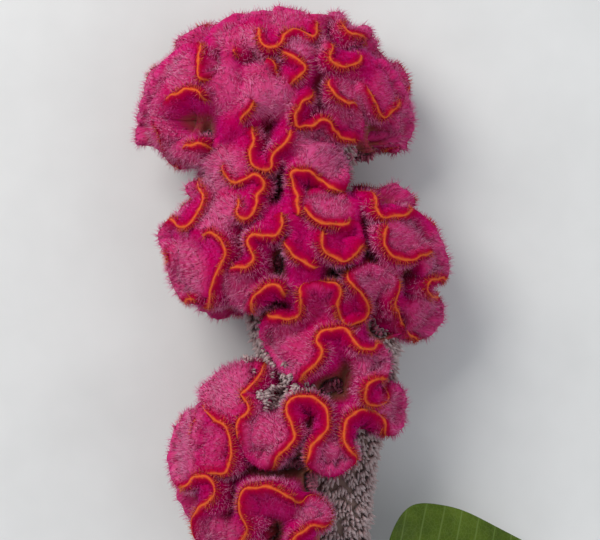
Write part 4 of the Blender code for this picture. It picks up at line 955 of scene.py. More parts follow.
def edge_places(ridge, run, side, roll):
    """Where the growing edge lies on the skin, as a signed depth: on the top where the lip stands
    up, and down the far side of the bend where it rolls away."""
    bend = ((ridge - blurred(ridge, run, BEND_SPREAD) + FAR_SIDE) * side).sum(axis=1)
    weight = roll + LIP_WEIGHT
    bend = blurred((bend * weight)[:, None], run, 2.0 * ROLL_SPREAD)
    bend = bend / blurred(weight[:, None], run, 2.0 * ROLL_SPREAD)
    shift = blurred(np.clip(roll - ROLL_START, 0.0, None)[:, None], run, ROLL_SPREAD)
    shift = np.minimum(ROLL_SHARE * shift[:, 0], ROLL_MOST)
    return -np.tanh(FAR_SHARPNESS * bend[:, 0]) * shift


def fold_ribs(ridge, run, root, rise):
    """Ribs of a fold, many points each, from past the ridge down to the root.

    A rib is a quadratic Bezier curve that rises from the root and then flares out to the ridge, and
    near the ends of the ridge it stops short of it.
    """
    span = ridge - root
    up = (span * rise).sum(axis=1, keepdims=True) * rise
    knee = root + KNEE_UP * up + KNEE_OUT * (span - up)
    ends = np.minimum(run, run[-1] - run)
    share = END_SHARE + (1.0 - END_SHARE) * np.clip(ends / END_TAPER, 0.0, 1.0)
    t = (share[:, None] * np.linspace(1.0, 0.0, RIB_POINTS))[..., None]
    ribs = (1 - t) ** 2 * root[:, None] + 2 * t * (1 - t) * knee[:, None] + t**2 * ridge[:, None]
    top = ribs[:, :1] + RIDGE_RISE * unit(ribs[:, :1] - ribs[:, 1:2])
    return np.concatenate([top, ribs], axis=1)


def fold(ridge, run, root, roll, seed):
    """One length of the comb: FOLD_PROFILE carried along its ridge.

    The skin lies half a thickness to either side of the ribs' surface, and the thickness swells and
    shrinks a little along the ridge. Flutes are waves in the flanks, and the growing edge is a
    Gaussian bead. Returns the skin: its rings of points, and for each point the outward direction,
    the run along the ridge, the distance down the skin from the edge, which is negative on one side,
    the way to the edge, how much it is on the outer side of a bend, and how combed its streaks are.
    """
    rng = np.random.default_rng(seed)
    rise = unit(blurred(ridge, run, ROOT_SPREAD) - root)
    side = unit(np.cross(np.gradient(ridge, axis=0), rise))
    edge = edge_places(ridge, run, side, roll)
    bend = ((ridge - blurred(ridge, run, BEND_SPREAD)) * side).sum(axis=1)
    ridge = ridge + (EDGE_STRAY * waves(run, EDGE_WAVE, rng))[:, None] * side
    profile = np.asarray(FOLD_PROFILE)
    depths = profile[:, 0]
    middle = at_depths(fold_ribs(ridge, run, root, rise), depths)
    normal = unit(np.cross(np.gradient(middle, axis=0), -np.gradient(middle, depths, axis=1)))
    swell = 1.0 + THICK_SWING * waves(run, THICK_WAVE, rng)
    offset = (swell[:, None] * profile[:, 1])[..., None] * normal
    right, left = (middle - offset)[:, :0:-1], (middle + offset)[:, 1:]
    rings = np.concatenate([right, middle[:, :1], left], axis=1)
    girth = np.concatenate([[0.0], np.cumsum(np.linalg.norm(np.diff(profile, axis=0), axis=1))])
    flank = np.concatenate([girth[:0:-1], -girth])
    depth = flank[None, :] - edge[:, None]
    outward = unit(np.cross(np.gradient(rings, axis=1), np.gradient(rings, axis=0)))
    flute = FLUTE_HEIGHT * waves(run, FLUTE_WAVE, rng)[:, None]
    relief = flute * np.interp(np.abs(depth), FLUTE_DEPTHS, (0.0, 1.0))
    relief = relief + BEAD_RISE * np.exp(-(depth / BEAD_WIDTH) ** 2)
    rings = rings + relief[..., None] * outward
    rings[..., 2] = np.maximum(rings[..., 2], SURFACE_Z)
    outer = -np.sign(depth) * np.tanh(OUTER_SHARPNESS * bend)[:, None]
    return {"rings": rings, "outward": outward, "depth": depth,
            "run": np.broadcast_to(run[:, None], depth.shape),
            "to_edge": unit(np.gradient(rings, axis=1)) * np.sign(depth)[..., None],
            "outer": np.clip(outer, 0.0, 1.0), "combed": np.ones_like(depth)}


def skin_part(skin):
    """A skin as (points, faces, layers), with its run and depth as its own map."""
    uv = np.stack([skin["run"].ravel(), skin["depth"].ravel()], axis=1)
    layers = {"uv": np.vstack([uv, uv[0], uv[-1]])}
    for key in ("pale", "combed"):
        values = skin[key].ravel()
        layers[key] = np.concatenate([values, values[:1], values[-1:]])
    return tube(skin["rings"], layers)


def scattered(rings, density, rng):
    """Random spots on a grid of points, with a given number a square millimetre in each cell.

    Returns the row and column that each spot lies at, as fractions.
    """
    across = rings[1:, 1:] - rings[:-1, :-1]
    other = rings[:-1, 1:] - rings[1:, :-1]
    area = 0.5 * np.linalg.norm(np.cross(across, other), axis=2)
    pressed = (rings[1:, 1:, 2] <= SURFACE_Z) & (rings[:-1, :-1, 2] <= SURFACE_Z)
    wanted = (area * density * ~pressed).ravel()
    cells = rng.choice(wanted.size, size=int(wanted.sum()), p=wanted / wanted.sum())
    row, column = np.divmod(cells, area.shape[1])
    return row + rng.random(len(cells)), column + rng.random(len(cells))


def sampled(grid, row, column):
    """Values of a grid at fractional rows and columns, blended from the four around each."""
    i, j = row.astype(int), column.astype(int)
    a, b = (row - i)[:, None], (column - j)[:, None]
    low = (1 - b) * grid[i, j] + b * grid[i, j + 1]
    high = (1 - b) * grid[i + 1, j] + b * grid[i + 1, j + 1]
    return (1 - a) * low + a * high


def across_axis(axis):
    """Two directions square to each axis and to each other."""
    helper = np.where(np.abs(axis[:, 2:]) < 0.9, (0.0, 0.0, 1.0), (1.0, 0.0, 0.0))
    side = unit(np.cross(axis, helper))
    return side, np.cross(axis, side)


def spokes(axis, count, start=0.0):
    """Directions evenly round each axis, count of them, from a start that is a share of a turn."""
    side, over = across_axis(axis)
    turn = np.broadcast_to(2.0 * np.pi * (np.arange(count) / count + start), (len(axis), count))
    return np.cos(turn)[..., None] * side[:, None] + np.sin(turn)[..., None] * over[:, None]


def spikes(base, axis, length, radius, waist, sides):
    """Closed spikes: from a point at the base through a ring of sides points at the waist, a share
    of the length, to a point. Returns points, faces and each point's share of the length."""
    count = len(base)
    ring = base[:, None] + (waist * length)[:, None, None] * axis[:, None]
    ring = ring + radius[:, None, None] * spokes(axis, sides)
    tip = base + length[:, None] * axis
    points = np.concatenate([base[:, None], ring, tip[:, None]], axis=1)
    points[..., 2] = np.maximum(points[..., 2], SURFACE_Z)
    j = np.arange(sides)
    after = (j + 1) % sides
    under = np.stack([np.zeros(sides, int), 1 + after, 1 + j], axis=1)
    over = np.stack([np.full(sides, sides + 1), 1 + j, 1 + after], axis=1)
    one = np.concatenate([under, over])
    faces = (one[None] + (sides + 2) * np.arange(count)[:, None, None]).reshape(-1, 3)
    share = np.tile(np.concatenate([[0.0], np.full(sides, waist), [1.0]]), count)
    return points.reshape(-1, 3), [faces], share


def needles(base, axis, length, radius):
    """Closed three-sided needles from their base to a point. Returns points, faces and each point's
    share of the length."""
    ring = base[:, None] + radius[:, None, None] * spokes(axis, 3)
    points = np.concatenate([ring, (base + length[:, None] * axis)[:, None]], axis=1)
    points[..., 2] = np.maximum(points[..., 2], SURFACE_Z)
    one = np.array([(2, 1, 0), (0, 1, 3), (1, 2, 3), (2, 0, 3)])
    faces = (one[None] + 4 * np.arange(len(base))[:, None, None]).reshape(-1, 3)
    return points.reshape(-1, 3), [faces], np.tile([0.0, 0.0, 0.0, 1.0], len(base))


def in_the_open(tree, points, axis):
    """Which points aren't buried: looking along their axis, they see no surface from behind."""
    hits = (tree.ray_cast(Vector(point), Vector(way)) for point, way in zip(points, axis))
    return np.array([hit[1] is None or hit[1].dot(Vector(way)) < 0.0
                     for hit, way in zip(hits, axis)])


def cell_means(grid):
    """Mean of the four corners of each cell of a grid."""
    return 0.25 * (grid[1:, 1:] + grid[:-1, 1:] + grid[1:, :-1] + grid[:-1, :-1])


def held(skin, row, column):
    """What the skin holds at fractional rows and columns: places, outward directions, ways to the
    edge, and marks, which are the run, the depth, the paleness and how combed the streaks are."""
    marks = np.stack([skin[key] for key in ("run", "depth", "pale", "combed")], axis=-1)
    return (sampled(skin["rings"], row, column), unit(sampled(skin["outward"], row, column)),
            sampled(skin["to_edge"], row, column), sampled(marks, row, column))


def seated(skin, density, rng):
    """What the skin holds at random spots, so many a square millimetre in each cell."""
    return held(skin, *scattered(skin["rings"], density, rng))


def leaning(seat, out, up, marks, lean, length, radius, stray, tree, rng):
    """Needles that lean from square to the skin towards the edge, where they aren't buried. marks
    are what held() gives. The needles carry them, their share of the length and a random tone."""
    axis = unit(np.cos(lean)[:, None] * out + np.sin(lean)[:, None] * up)
    axis = unit(axis + stray * rng.normal(size=axis.shape))
    length = length * rng.uniform(1.0 - BRISTLE_LENGTH_SWING, 1.0 + BRISTLE_LENGTH_SWING, len(seat))
    clear = in_the_open(tree, seat + (BRISTLE_LOOKOUT * length)[:, None] * axis, axis)
    seat, axis, length, marks = seat[clear], axis[clear], length[clear], marks[clear]
    points, faces, share = needles(seat - BRISTLE_SUNK * axis, axis, length + BRISTLE_SUNK,
                                   np.broadcast_to(radius, clear.shape)[clear])
    corners = len(points) // len(seat)
    tone = np.repeat(rng.random(len(seat)), corners)
    marks = np.repeat(marks, corners, axis=0)
    return points, faces, {"uv": marks[:, :2], "pale": marks[:, 2], "combed": marks[:, 3],
                           "tip": share, "tone": tone}


def bristles_on(skin, tree, thinner, rng):
    """Bristles of a fold, in the bands of BRISTLE_BANDS and leaning up towards the edge. They are
    thickest on the outer side of bends and where the comb is pale, and there they are longer too."""
    bands = np.asarray(BRISTLE_BANDS)
    below = np.abs(cell_means(skin["depth"]))
    band = np.clip(np.searchsorted(bands[:, 1], below, side="right") - 1, 0, None)
    density = np.where(below < bands[-1, 2], bands[band, 0], 0.0) * thinner
    # The outer side of a bend is pale partly for its pale bristles and partly as painted light
    fringe = np.maximum(skin["pale"], OUTER_FRINGE * skin["outer"])
    density = density * np.interp(cell_means(fringe), FRINGES, FRINGE_SHARES)
    seat, out, up, marks = seated({**skin, "pale": fringe}, density, rng)
    band = np.searchsorted(bands[:, 1], np.abs(marks[:, 1]), side="right") - 1
    length = bands[band, 3] * (1.0 + PALE_LONGER * marks[:, 2])
    return leaning(seat, out, up, marks, np.radians(bands[band, 5]), length, bands[band, 4],
                   BRISTLE_STRAY, tree, rng)


def teeth_on(skin, tree, rng):
    """Rows of teeth that fringe the outer side of a fold's bends, coloured like the growing edge. A
    row keeps one depth: at each tooth it lies between the two columns whose depths enclose it."""
    run, depth = skin["run"][:, 0], skin["depth"]
    rows, columns = [], []
    for level in (*TEETH_ROWS, *(-level for level in TEETH_ROWS)):
        at = np.arange(TEETH_PITCH * rng.random(), run[-1], TEETH_PITCH)
        at = at + TEETH_UNEVEN * TEETH_PITCH * rng.normal(size=len(at))
        row = np.clip(np.interp(at, run, np.arange(len(run))), 0.0, len(run) - GRID_END)
        lines = depth[row.astype(int)]
        left = np.clip((lines > level).sum(axis=1) - 1, 0, depth.shape[1] - 2)
        high, low = (np.take_along_axis(lines, (left + k)[:, None], 1)[:, 0] for k in (0, 1))
        rows.append(row)
        columns.append(left + np.clip((high - level) / (high - low), 0.0, CELL_END))
    row, column = np.concatenate(rows), np.concatenate(columns)
    kept = rng.random(len(row)) < sampled(skin["outer"][..., None], row, column)[:, 0]
    seat, out, up, marks = held(skin, row[kept], column[kept])
    marks[:, 1] = TEETH_COLOUR_DEPTH
    return leaning(seat, out, up, marks, np.full(len(seat), math.radians(-TEETH_LEAN)),
                   TEETH_LENGTH, TEETH_RADIUS, TEETH_STRAY, tree, rng)


def hairs_on(skin, tree, rng):
    """Hairs of the velvet: long, thick-set and laid away from the edge where it is pale, and none in
    the hollows."""
    depth, pale = cell_means(skin["depth"]), cell_means(skin["pale"])
    density = np.interp(pale, (0.0, 1.0), HAIR_DENSITY)
    density = density * np.interp(depth, HAIR_DEPTHS, (1.0, 0.0))
    seat, out, up, marks = seated(skin, density, rng)
    pale = marks[:, 2]
    lean = np.radians(np.interp(pale, (0.0, 1.0), HAIR_LEAN))
    return leaning(seat, out, up, marks, lean, np.interp(pale, (0.0, 1.0), HAIR_LENGTH),
                   HAIR_RADIUS, HAIR_STRAY, tree, rng)


def oval(x, y, middle_x, middle_y, half_x, half_y, turn):
    """Distance from the middle of an oval as a share of its half sizes."""
    turn = math.radians(turn)
    along = math.cos(turn) * (x - middle_x) + math.sin(turn) * (y - middle_y)
    across = math.cos(turn) * (y - middle_y) - math.sin(turn) * (x - middle_x)
    return np.hypot(along / half_x, across / half_y)


def paleness(x, y):
    """How pale and long-haired the comb is at x and y: each lobe's own, fading over its rim, and more
    towards the outline of the head, where the outer surface is low. A lobe's paleness is partly pale
    hair and partly painted light on the raised lobe; towards the outline it is a painted sheen where
    the surface turns away at the rim."""
    pale = np.interp(front_height(x, y), OUTLINE_HEIGHTS, (OUTLINE_PAINTED_SHEEN, 0.0))
    for *place, _, own in LOBES:
        inside = np.clip((PALE_RIM - oval(x, y, *place)) / PALE_FADE, 0.0, 1.0)
        pale = np.maximum(pale, own * inside**2 * (3.0 - 2.0 * inside))
    return pale


def velvet_height(x, y, spines):
    """Height of the velvet at x and y, and which spine it hangs from there.

    It is the soft maximum of the skirts, which fall away from each spine with the square of the
    distance, and of the lobes, which fall with the cube of it. Hollows are Gaussian dips.
    """
    gap = (x.ravel()[:, None] - spines[None, :, 0]) ** 2
    gap += (y.ravel()[:, None] - spines[None, :, 1]) ** 2
    skirt = spines[None, :, 2] - SKIRT_DROP - SKIRT_CURVE * gap
    spine = skirt.argmax(axis=1)
    highest = np.take_along_axis(skirt, spine[:, None], 1)
    skirt -= highest
    skirt /= SOFTNESS
    height = highest[:, 0] + SOFTNESS * np.log(np.exp(skirt, out=skirt).sum(axis=1))
    height = height.reshape(x.shape)
    outer = front_height(x, y)
    for *place, lift, _ in LOBES:
        lobe = outer + lift - LOBE_FALL * oval(x, y, *place) ** 3
        height = SOFTNESS * np.logaddexp(height / SOFTNESS, lobe / SOFTNESS)
    for *place, depth in HOLLOWS:
        height = height - depth * np.exp(-oval(x, y, *place) ** 2)
    return height, spine.reshape(x.shape)


def velvet(spines):
    """The velvet between the front ridges and the flesh behind it, as rings across the comb.

    The front of a ring follows velvet_height from the left limit to the right one and rolls down
    at both with the square of the distance, and the back returns along half a superellipse. spines
    are points of all front ridges, with their run and heading. Returns a skin, whose run is carried
    over from the spine it hangs from, and whose depth is a colour depth that grows with the drop
    below the outer surface, so that the hollows are coloured darker: partly the flesh's own colour
    and partly painted shade.
    """
    table = np.asarray(VELVET_OUTLINE)
    rows = np.linspace(table[0, 0], table[-1, 0], VELVET_ROWS)
    left, right, middle, behind = (np.interp(rows, table[:, 0], table[:, k])[:, None]
                                   for k in (1, 2, 3, 4))
    share = np.linspace(0.0, 1.0, VELVET_ACROSS)[None, :]
    x = left + share * (right - left)
    y = rows[:, None] + np.zeros_like(x)
    height, spine = velvet_height(x, y, spines)
    rim = np.clip(1.0 - np.minimum(x - left, right - x) / RIM_WIDTH, 0.0, 1.0)
    height = np.maximum(height - RIM_FALL * rim**2, middle + VELVET_LEAST)
    front = np.stack([x, y, height], axis=-1)
    share = np.linspace(1.0, 0.0, VELVET_BEHIND + 2)[None, 1:-1]
    x_back = left + share * (right - left)
    y_back = rows[:, None] + np.zeros_like(x_back)
    z_back = middle - behind * np.sqrt(1.0 - (2.0 * share - 1.0) ** VELVET_ROUNDNESS)
    back = np.stack([x_back, y_back, z_back], axis=-1)
    rings = np.concatenate([front, back], axis=1)
    rings[..., 2] = np.maximum(rings[..., 2], SURFACE_Z)
    outward = unit(np.cross(np.gradient(rings, axis=1), np.gradient(rings, axis=0)))
    sink = SINK_START + SINK_SHARE * (front_height(x, y) - height)
    depth = np.concatenate([np.clip(sink, SHALLOWEST, DEEPEST),
                            np.full(x_back.shape, BEHIND_DEPTH)], axis=1)
    away = (front - spines[spine, :3])[..., :2]
    ahead = (away * spines[spine, 4:6]).sum(axis=-1)
    combed = np.exp(-(np.linalg.norm(away, axis=-1) / COMBED_REACH) ** 2)
    run = np.concatenate([spines[spine, 3] + ahead, np.zeros(x_back.shape)], axis=1)
    uphill = np.concatenate([unit(spines[spine, :3] - front), outward[:, VELVET_ACROSS:]], axis=1)
    pale = np.concatenate([paleness(x, y), np.full(x_back.shape, BACK_PALENESS)], axis=1)
    combed = np.concatenate([combed, np.zeros(x_back.shape)], axis=1)
    return {"rings": rings, "outward": outward, "run": run, "depth": depth, "to_edge": uphill,
            "pale": pale, "combed": combed}


def rachis_rings():
    """The rachis as fine rings: rounded oblongs of its stations, blended along a smooth curve."""
    table, _ = smooth_curve(RACHIS_STATIONS)
    order = np.argsort(table[:, 0])
    y = np.linspace(RACHIS_STATIONS[0][0], RACHIS_STATIONS[-1][0], RACHIS_RINGS)
    centre, half_width, half_depth = (np.interp(y, table[order, 0], table[order, k])[:, None]
                                      for k in (1, 2, 3))
    angle = np.linspace(0.0, 2.0 * np.pi, RACHIS_SIDES, endpoint=False)[None, :]
    power = 2.0 / RACHIS_ROUNDNESS
    wide = np.sign(np.cos(angle)) * np.abs(np.cos(angle)) ** power
    deep = np.sign(np.sin(angle)) * np.abs(np.sin(angle)) ** power
    return np.stack([centre + half_width * wide, y[:, None] * np.ones_like(wide),
                     -half_depth * deep], axis=-1)


def floret_spots(rings, rng):
    """Rows and columns of the florets' seats, as fractions: on every FLORET_PITCH of height they
    stand as far apart round the rachis, staggered and a little out of line."""
    heights = rings[:, 0, 1]
    rows, columns = [], []
    for number, height in enumerate(np.arange(heights[0], heights[-1], FLORET_PITCH)):
        row = np.interp(height, heights, np.arange(len(heights)))
        ring = rings[int(row)]
        sides = np.linalg.norm(np.diff(ring, axis=0, append=ring[:1]), axis=1)
        run = np.concatenate([[0.0], np.cumsum(sides)])
        count = int(run[-1] / FLORET_PITCH)
        at = np.arange(count) + 0.5 * (number % 2) + FLORET_JITTER * rng.normal(size=count)
        columns.append(np.interp(at / count % 1.0 * run[-1], run, np.arange(len(run))))
        strayed = FLORET_JITTER * FLORET_PITCH / (heights[1] - heights[0]) * rng.normal(size=count)
        rows.append(row + strayed)
    row = np.clip(np.concatenate(rows), 0.0, len(heights) - GRID_END)
    return row, np.clip(np.concatenate(columns), 0.0, rings.shape[1] - GRID_END)


def florets(base, out, length, rng):
    """Chaffy florets: each is a few slim papery tepals that open a little from one base."""
    count = len(base)
    around = spokes(out, TEPALS, rng.random((count, 1)))
    opening = rng.uniform(*TEPAL_OPENING, (count, TEPALS, 1))
    axis = unit(out[:, None] + opening * around).reshape(-1, 3)
    seats = (base[:, None] + TEPAL_SEAT * around).reshape(-1, 3)
    lengths = (length[:, None] * rng.uniform(*TEPAL_LENGTHS, (count, TEPALS))).ravel()
    radius = TEPAL_RADIUS * lengths / FLORET_LENGTH
    points, faces, share = spikes(seats, axis, lengths, radius, TEPAL_WAIST, TEPAL_SIDES)
    tone = np.repeat(rng.random(count), len(points) // count)
    return points, faces, {"tip": share, "tone": tone}


def chaff_on(skin, tree, rng):
    """Florets on the floors of the deep places."""
    depth = cell_means(skin["depth"])
    density = CHAFF_DENSITY * np.interp(depth, CHAFF_DEPTHS, (0.0, 1.0))
    base, out, _, _ = seated(skin, density, rng)
    out = unit(out + CHAFF_STRAY * rng.normal(size=base.shape))
    clear = in_the_open(tree, base + FLORET_LOOKOUT * out, out)
    base, out = base[clear], out[clear]
    return florets(base, out, rng.uniform(*CHAFF_LENGTHS, len(base)), rng)


def stem_rings():
    """The grooved stem: fluted sections along the smooth curve through its stations, with a slight
    Gaussian swelling where each leaf is attached."""
    fine, run = smooth_curve(STEM_STATIONS)
    at = np.linspace(0.0, run[-1], STEM_RINGS)
    x, y, z, radius = (np.interp(at, run, fine[:, k]) for k in range(4))
    middle = np.stack([x, y, z], axis=1)
    ahead = unit(np.gradient(middle, axis=0))
    side = unit(np.cross((0.0, 0.0, -1.0), ahead))
    up = np.cross(ahead, side)
    angle = np.linspace(0.0, 2.0 * np.pi, STEM_SIDES, endpoint=False)
    groove = np.abs(np.sin(0.5 * STEM_RIBS * angle)) ** STEM_GROOVE_POWER
    for leaf in LEAVES:
        radius = radius * (1.0 + STEM_SWELL * np.exp(-((y - leaf[0]) / STEM_SWELL_LENGTH) ** 2))
    out = np.cos(angle)[:, None] * side[:, None] + np.sin(angle)[:, None] * up[:, None]
    rings = middle[:, None] + (radius[:, None] * (1.0 - STEM_GROOVE * groove))[..., None] * out
    rings[..., 2] = np.maximum(rings[..., 2], SURFACE_Z)
    return rings


def leaf_part(attach_y, heading, length, half_width, drop, roll):
    """One leaf as (points, faces, layers).

    The petiole starts in the stem. The blade swells and tapers as a skewed sine, is folded up a
    little along its rib, waves at its margins and arches over as a parabola. Its upper side bulges
    between side veins that leave the rib at a slant, and the rib stands out below.
    """
    table = np.asarray(STEM_STATIONS)[::-1]
    stem_x, stem_z, radius = (np.interp(attach_y, table[:, 1], table[:, k]) for k in (0, 2, 3))
    heading, roll = math.radians(heading), math.radians(roll)
    ahead = np.array([math.cos(heading), math.sin(heading), 0.0])
    start = (radius + PETIOLE_HALF_WIDTH * abs(ahead[1])) / abs(ahead[0])
    side = np.array([-ahead[1], ahead[0], 0.0])
    tilted = math.cos(roll) * side + math.sin(roll) * np.array([0.0, 0.0, 1.0])
    upward = np.cross(ahead, tilted)
    t = np.linspace(-PETIOLE_SUNK / length, 1.0, LEAF_STATIONS)
    blade = np.clip((t - PETIOLE_SHARE) / (1.0 - PETIOLE_SHARE), 0.0, 1.0)
    width = PETIOLE_HALF_WIDTH * (1.0 - PETIOLE_TAPER * blade)
    width = width + half_width * np.sin(np.pi * blade**BLADE_SKEW)
    along = np.clip(t, 0.0, 1.0)
    arch = drop * (LEAF_ARCH * along * (1.0 - along) - along**LEAF_FALL)
    middle = np.array([stem_x, attach_y, stem_z]) + (start + length * t)[:, None] * ahead
    middle[:, 2] += arch
    across = np.sin(np.linspace(-0.5, 0.5, LEAF_COLUMNS) * np.pi)
    from_rib = width[:, None] * across
    points = middle[:, None] + from_rib[..., None] * tilted
    fold_up = LEAF_CHANNEL * width[:, None] * np.abs(across)
    phase = 2.0 * np.pi * LEAF_WAVES * blade[:, None] + np.where(across > 0, 0.0, LEAF_OUT_OF_STEP)
    wave = LEAF_WAVE * across**2 * np.sin(phase) * np.sin(np.pi * blade)[:, None]
    thick = LEAF_THICK * (1.0 - LEAF_THINNING * np.abs(across)) + np.zeros_like(points[..., 0])
    petiole = np.clip(1.0 - PETIOLE_FADE * blade, 0.0, 1.0)[:, None]
    thick = thick + (PETIOLE_DEPTH - LEAF_THICK) * petiole * (1.0 - 0.5 * across**2)
    vein_run = (length * t[:, None] - VEIN_SLANT * width[:, None] * np.abs(across)) / VEIN_PITCH
    vein = np.exp(-((vein_run - np.round(vein_run)) * VEIN_PITCH / VEIN_WIDTH) ** 2)
    bulge = np.sin(np.pi * np.clip(np.abs(across), 0.0, 1.0))
    quilt = QUILT_RISE * (1.0 - vein) * bulge * (1 - petiole)
    rib = np.exp(-(from_rib / RIB_WIDTH) ** 2) * (1.0 - RIB_FADE * blade[:, None])
    points = points + (fold_up + wave + quilt - RIB_LET_IN * rib)[..., None] * upward
    upper = points + (0.5 * thick)[..., None] * upward
    lower = points - (0.5 * thick + RIB_PROUD * rib * (1 - petiole))[..., None] * upward
    rings = np.concatenate([upper[:, ::-1], lower], axis=1)
    rings[..., 2] = np.maximum(rings[..., 2], SURFACE_Z)
    run = np.broadcast_to((length * t)[:, None], from_rib.shape)
    uv = np.stack([np.concatenate([run, run], axis=1),
                   np.concatenate([from_rib[:, ::-1], from_rib], axis=1)], axis=-1)
    under = np.zeros(rings.shape[:2])
    under[:, LEAF_COLUMNS:] = 1.0
    return tube(rings, {"uv": np.vstack([uv.reshape(-1, 2), uv[0, 0], uv[-1, 0]]),
                        "underside": np.concatenate([under.ravel(), [0.0, 0.0]])})


def node(tree, kind, inputs=(), **settings):
    """Adds a shader node. inputs are pairs of a socket's name or number and a value or a socket."""
    made = tree.nodes.new(kind)
    for key, value in settings.items():
        setattr(made, key, value)
    for key, value in inputs:
        if isinstance(value, bpy.types.NodeSocket):
            tree.links.new(value, made.inputs[key])
        else:
            made.inputs[key].default_value = value
    return made


def reckon(tree, operation, first, second=0.0, third=0.0):
    """Output of a Math node."""
    return node(tree, "ShaderNodeMath", ((0, first), (1, second), (2, third)),
                operation=operation).outputs[0]


def times(tree, *values):
    """Product of values."""
    product = values[0]
    for value in values[1:]:
        product = reckon(tree, "MULTIPLY", product, value)
    return product


def fade(tree, value, low, high, start=0.0, end=1.0):
    """A value taken smoothly from low..high to start..end."""
    made = node(tree, "ShaderNodeMapRange", (("Value", value), ("From Min", low), ("From Max", high),
                                             ("To Min", start), ("To Max", end)),
                interpolation_type="SMOOTHSTEP")
    return made.outputs[0]


def blended(tree, share, first, second):
    """Colour blended from first to second by a share. Each is a socket or a linear colour."""
    first, second = (colour if isinstance(colour, bpy.types.NodeSocket) else (*colour, 1.0)
                     for colour in (first, second))
    made = node(tree, "ShaderNodeMix", ((0, share), (6, first), (7, second)), data_type="RGBA")
    return made.outputs[2]


def ramp(tree, value, stops):
    """Colour ramp through stops, each a place from 0 to 1 and a linear colour."""
    made = node(tree, "ShaderNodeValToRGB", ((0, value),))
    elements = made.color_ramp.elements
    for place, _ in stops[2:]:
        elements.new(place)
    for element, (place, colour) in zip(elements, stops):
        element.position = place
        element.color = (*colour, 1.0)
    return made.outputs[0]


def noise(tree, where, scale, detail=3.0, roughness=0.55):
    """Noise from 0 to 1 at a place."""
    return node(tree, "ShaderNodeTexNoise", (("Vector", where), ("Scale", scale), ("Detail", detail),
                                             ("Roughness", roughness))).outputs[0]


def place_of(tree):
    """Place in the part's frame, in metres."""
    return node(tree, "ShaderNodeTexCoord").outputs["Object"]


def layer(tree, name):
    """One of the values that the piece carries at its points."""
    return node(tree, "ShaderNodeAttribute", attribute_name=name).outputs["Fac"]


def start_material(name, roughness, sheen=0.0, sheen_tint=(1.0, 1.0, 1.0), flesh=0.0,
                   flesh_radius=(1.0, 0.3, 0.4), flesh_scale=0.002, gloss=0.3):
    """A new material: returns its tree and its shader, with the constants set on the shader."""
    material = bpy.data.materials.new(name)
    material.use_nodes = True
    tree = material.node_tree
    shader = tree.nodes["Principled BSDF"]
    shader.inputs["Roughness"].default_value = roughness
    shader.inputs["Sheen Weight"].default_value = sheen
    shader.inputs["Sheen Roughness"].default_value = 0.4
    shader.inputs["Sheen Tint"].default_value = (*sheen_tint, 1.0)
    shader.inputs["Subsurface Weight"].default_value = flesh
    shader.inputs["Subsurface Radius"].default_value = flesh_radius
    shader.inputs["Subsurface Scale"].default_value = flesh_scale
    shader.inputs["Specular IOR Level"].default_value = gloss
    return material, tree, shader


def dress(tree, shader, colour, relief=None, strength=0.5, distance=0.0004):
    """Gives a shader its colour and, where there is a relief, a bump from it."""
    tree.links.new(colour, shader.inputs["Base Color"])
    if relief is not None:
        bump = node(tree, "ShaderNodeBump", (("Strength", strength), ("Distance", distance),
                                             ("Height", relief)))
        tree.links.new(bump.outputs[0], shader.inputs["Normal"])


def run_and_depth(tree):
    """The run along the ridge, the depth below the lip and the signed depth, in millimetres."""
    map_node = node(tree, "ShaderNodeUVMap", uv_map="UVMap")
    run, signed, _ = node(tree, "ShaderNodeSeparateXYZ", ((0, map_node.outputs[0]),)).outputs
    return run, reckon(tree, "ABSOLUTE", signed), signed


def skin_noise(tree, run, depth, waves_a_mm, roughness=0.55):
    """Noise on a skin, with so many waves a millimetre along the ridge and down the flank."""
    along, down = waves_a_mm
    place = node(tree, "ShaderNodeCombineXYZ", ((0, times(tree, run, along)),
                                                (1, times(tree, depth, down))))
    return noise(tree, place.outputs[0], 1.0, roughness=roughness)


def comb_colour(tree):
    """Colour of the comb by its depth below the lip: the orange growing edge, a crimson band, then
    crimson to magenta flanks with fine streaks down them, fading to a darker brownish maroon in the
    valleys, which is partly the flesh's own colour and partly painted shade.
    Where the paleness says so the streaks are pale pink and wide. Far from a ridge they give way to
    an even mottle. Returns the colour, the streaks and the paleness that is left."""
    run, depth, signed = run_and_depth(tree)
    place = place_of(tree)
    patches = noise(tree, place, PATCH_SCALE)
    factor = fade(tree, skin_noise(tree, run, signed, EDGE_WAVES), *EDGE_FACTORS)
    level = reckon(tree, "MINIMUM", times(tree, depth, factor),
                   reckon(tree, "ADD", depth, EDGE_SWING))
    stops = [(band / DEPTH_SCALE, colour) for band, colour in COMB_BANDS]
    base = ramp(tree, reckon(tree, "DIVIDE", level, DEPTH_SCALE), stops)
    streak = skin_noise(tree, run, signed, STREAK_WAVES, roughness=0.6)
    mottle = noise(tree, place, MOTTLE_SCALE, roughness=0.6)
    streak = reckon(tree, "MULTIPLY_ADD", layer(tree, "combed"),
                    reckon(tree, "SUBTRACT", streak, mottle), mottle)
    share = times(tree, fade(tree, streak, *BRIGHT_STREAKS), fade(tree, depth, *STREAKS_BEGIN),
                  fade(tree, depth, *STREAKS_END), fade(tree, patches, *PATCHED_STREAKS))
    colour = blended(tree, share, base, STREAK_COLOUR)
    colour = blended(tree, fade(tree, streak, *DARK_STREAKS), colour, SHADE_COLOUR)
    pale = times(tree, layer(tree, "pale"), fade(tree, streak, *STREAKED_PALENESS),
                 fade(tree, patches, *PATCHED_PALENESS), fade(tree, depth, *PALENESS_BEGINS),
                 fade(tree, depth, *PALENESS_ENDS))
    return blended(tree, pale, colour, PALE_COLOUR), streak, pale


def comb_material():
    """Velvety flesh of the comb, with a soft tinted sheen and its streaks as a fine relief."""
    material, tree, shader = start_material("comb_flesh", 0.75, sheen=0.06, sheen_tint=SHEEN_TINT,
                                            flesh=0.4, gloss=0.0)
    colour, streak, _ = comb_colour(tree)
    dress(tree, shader, colour, streak, strength=0.6)
    return material


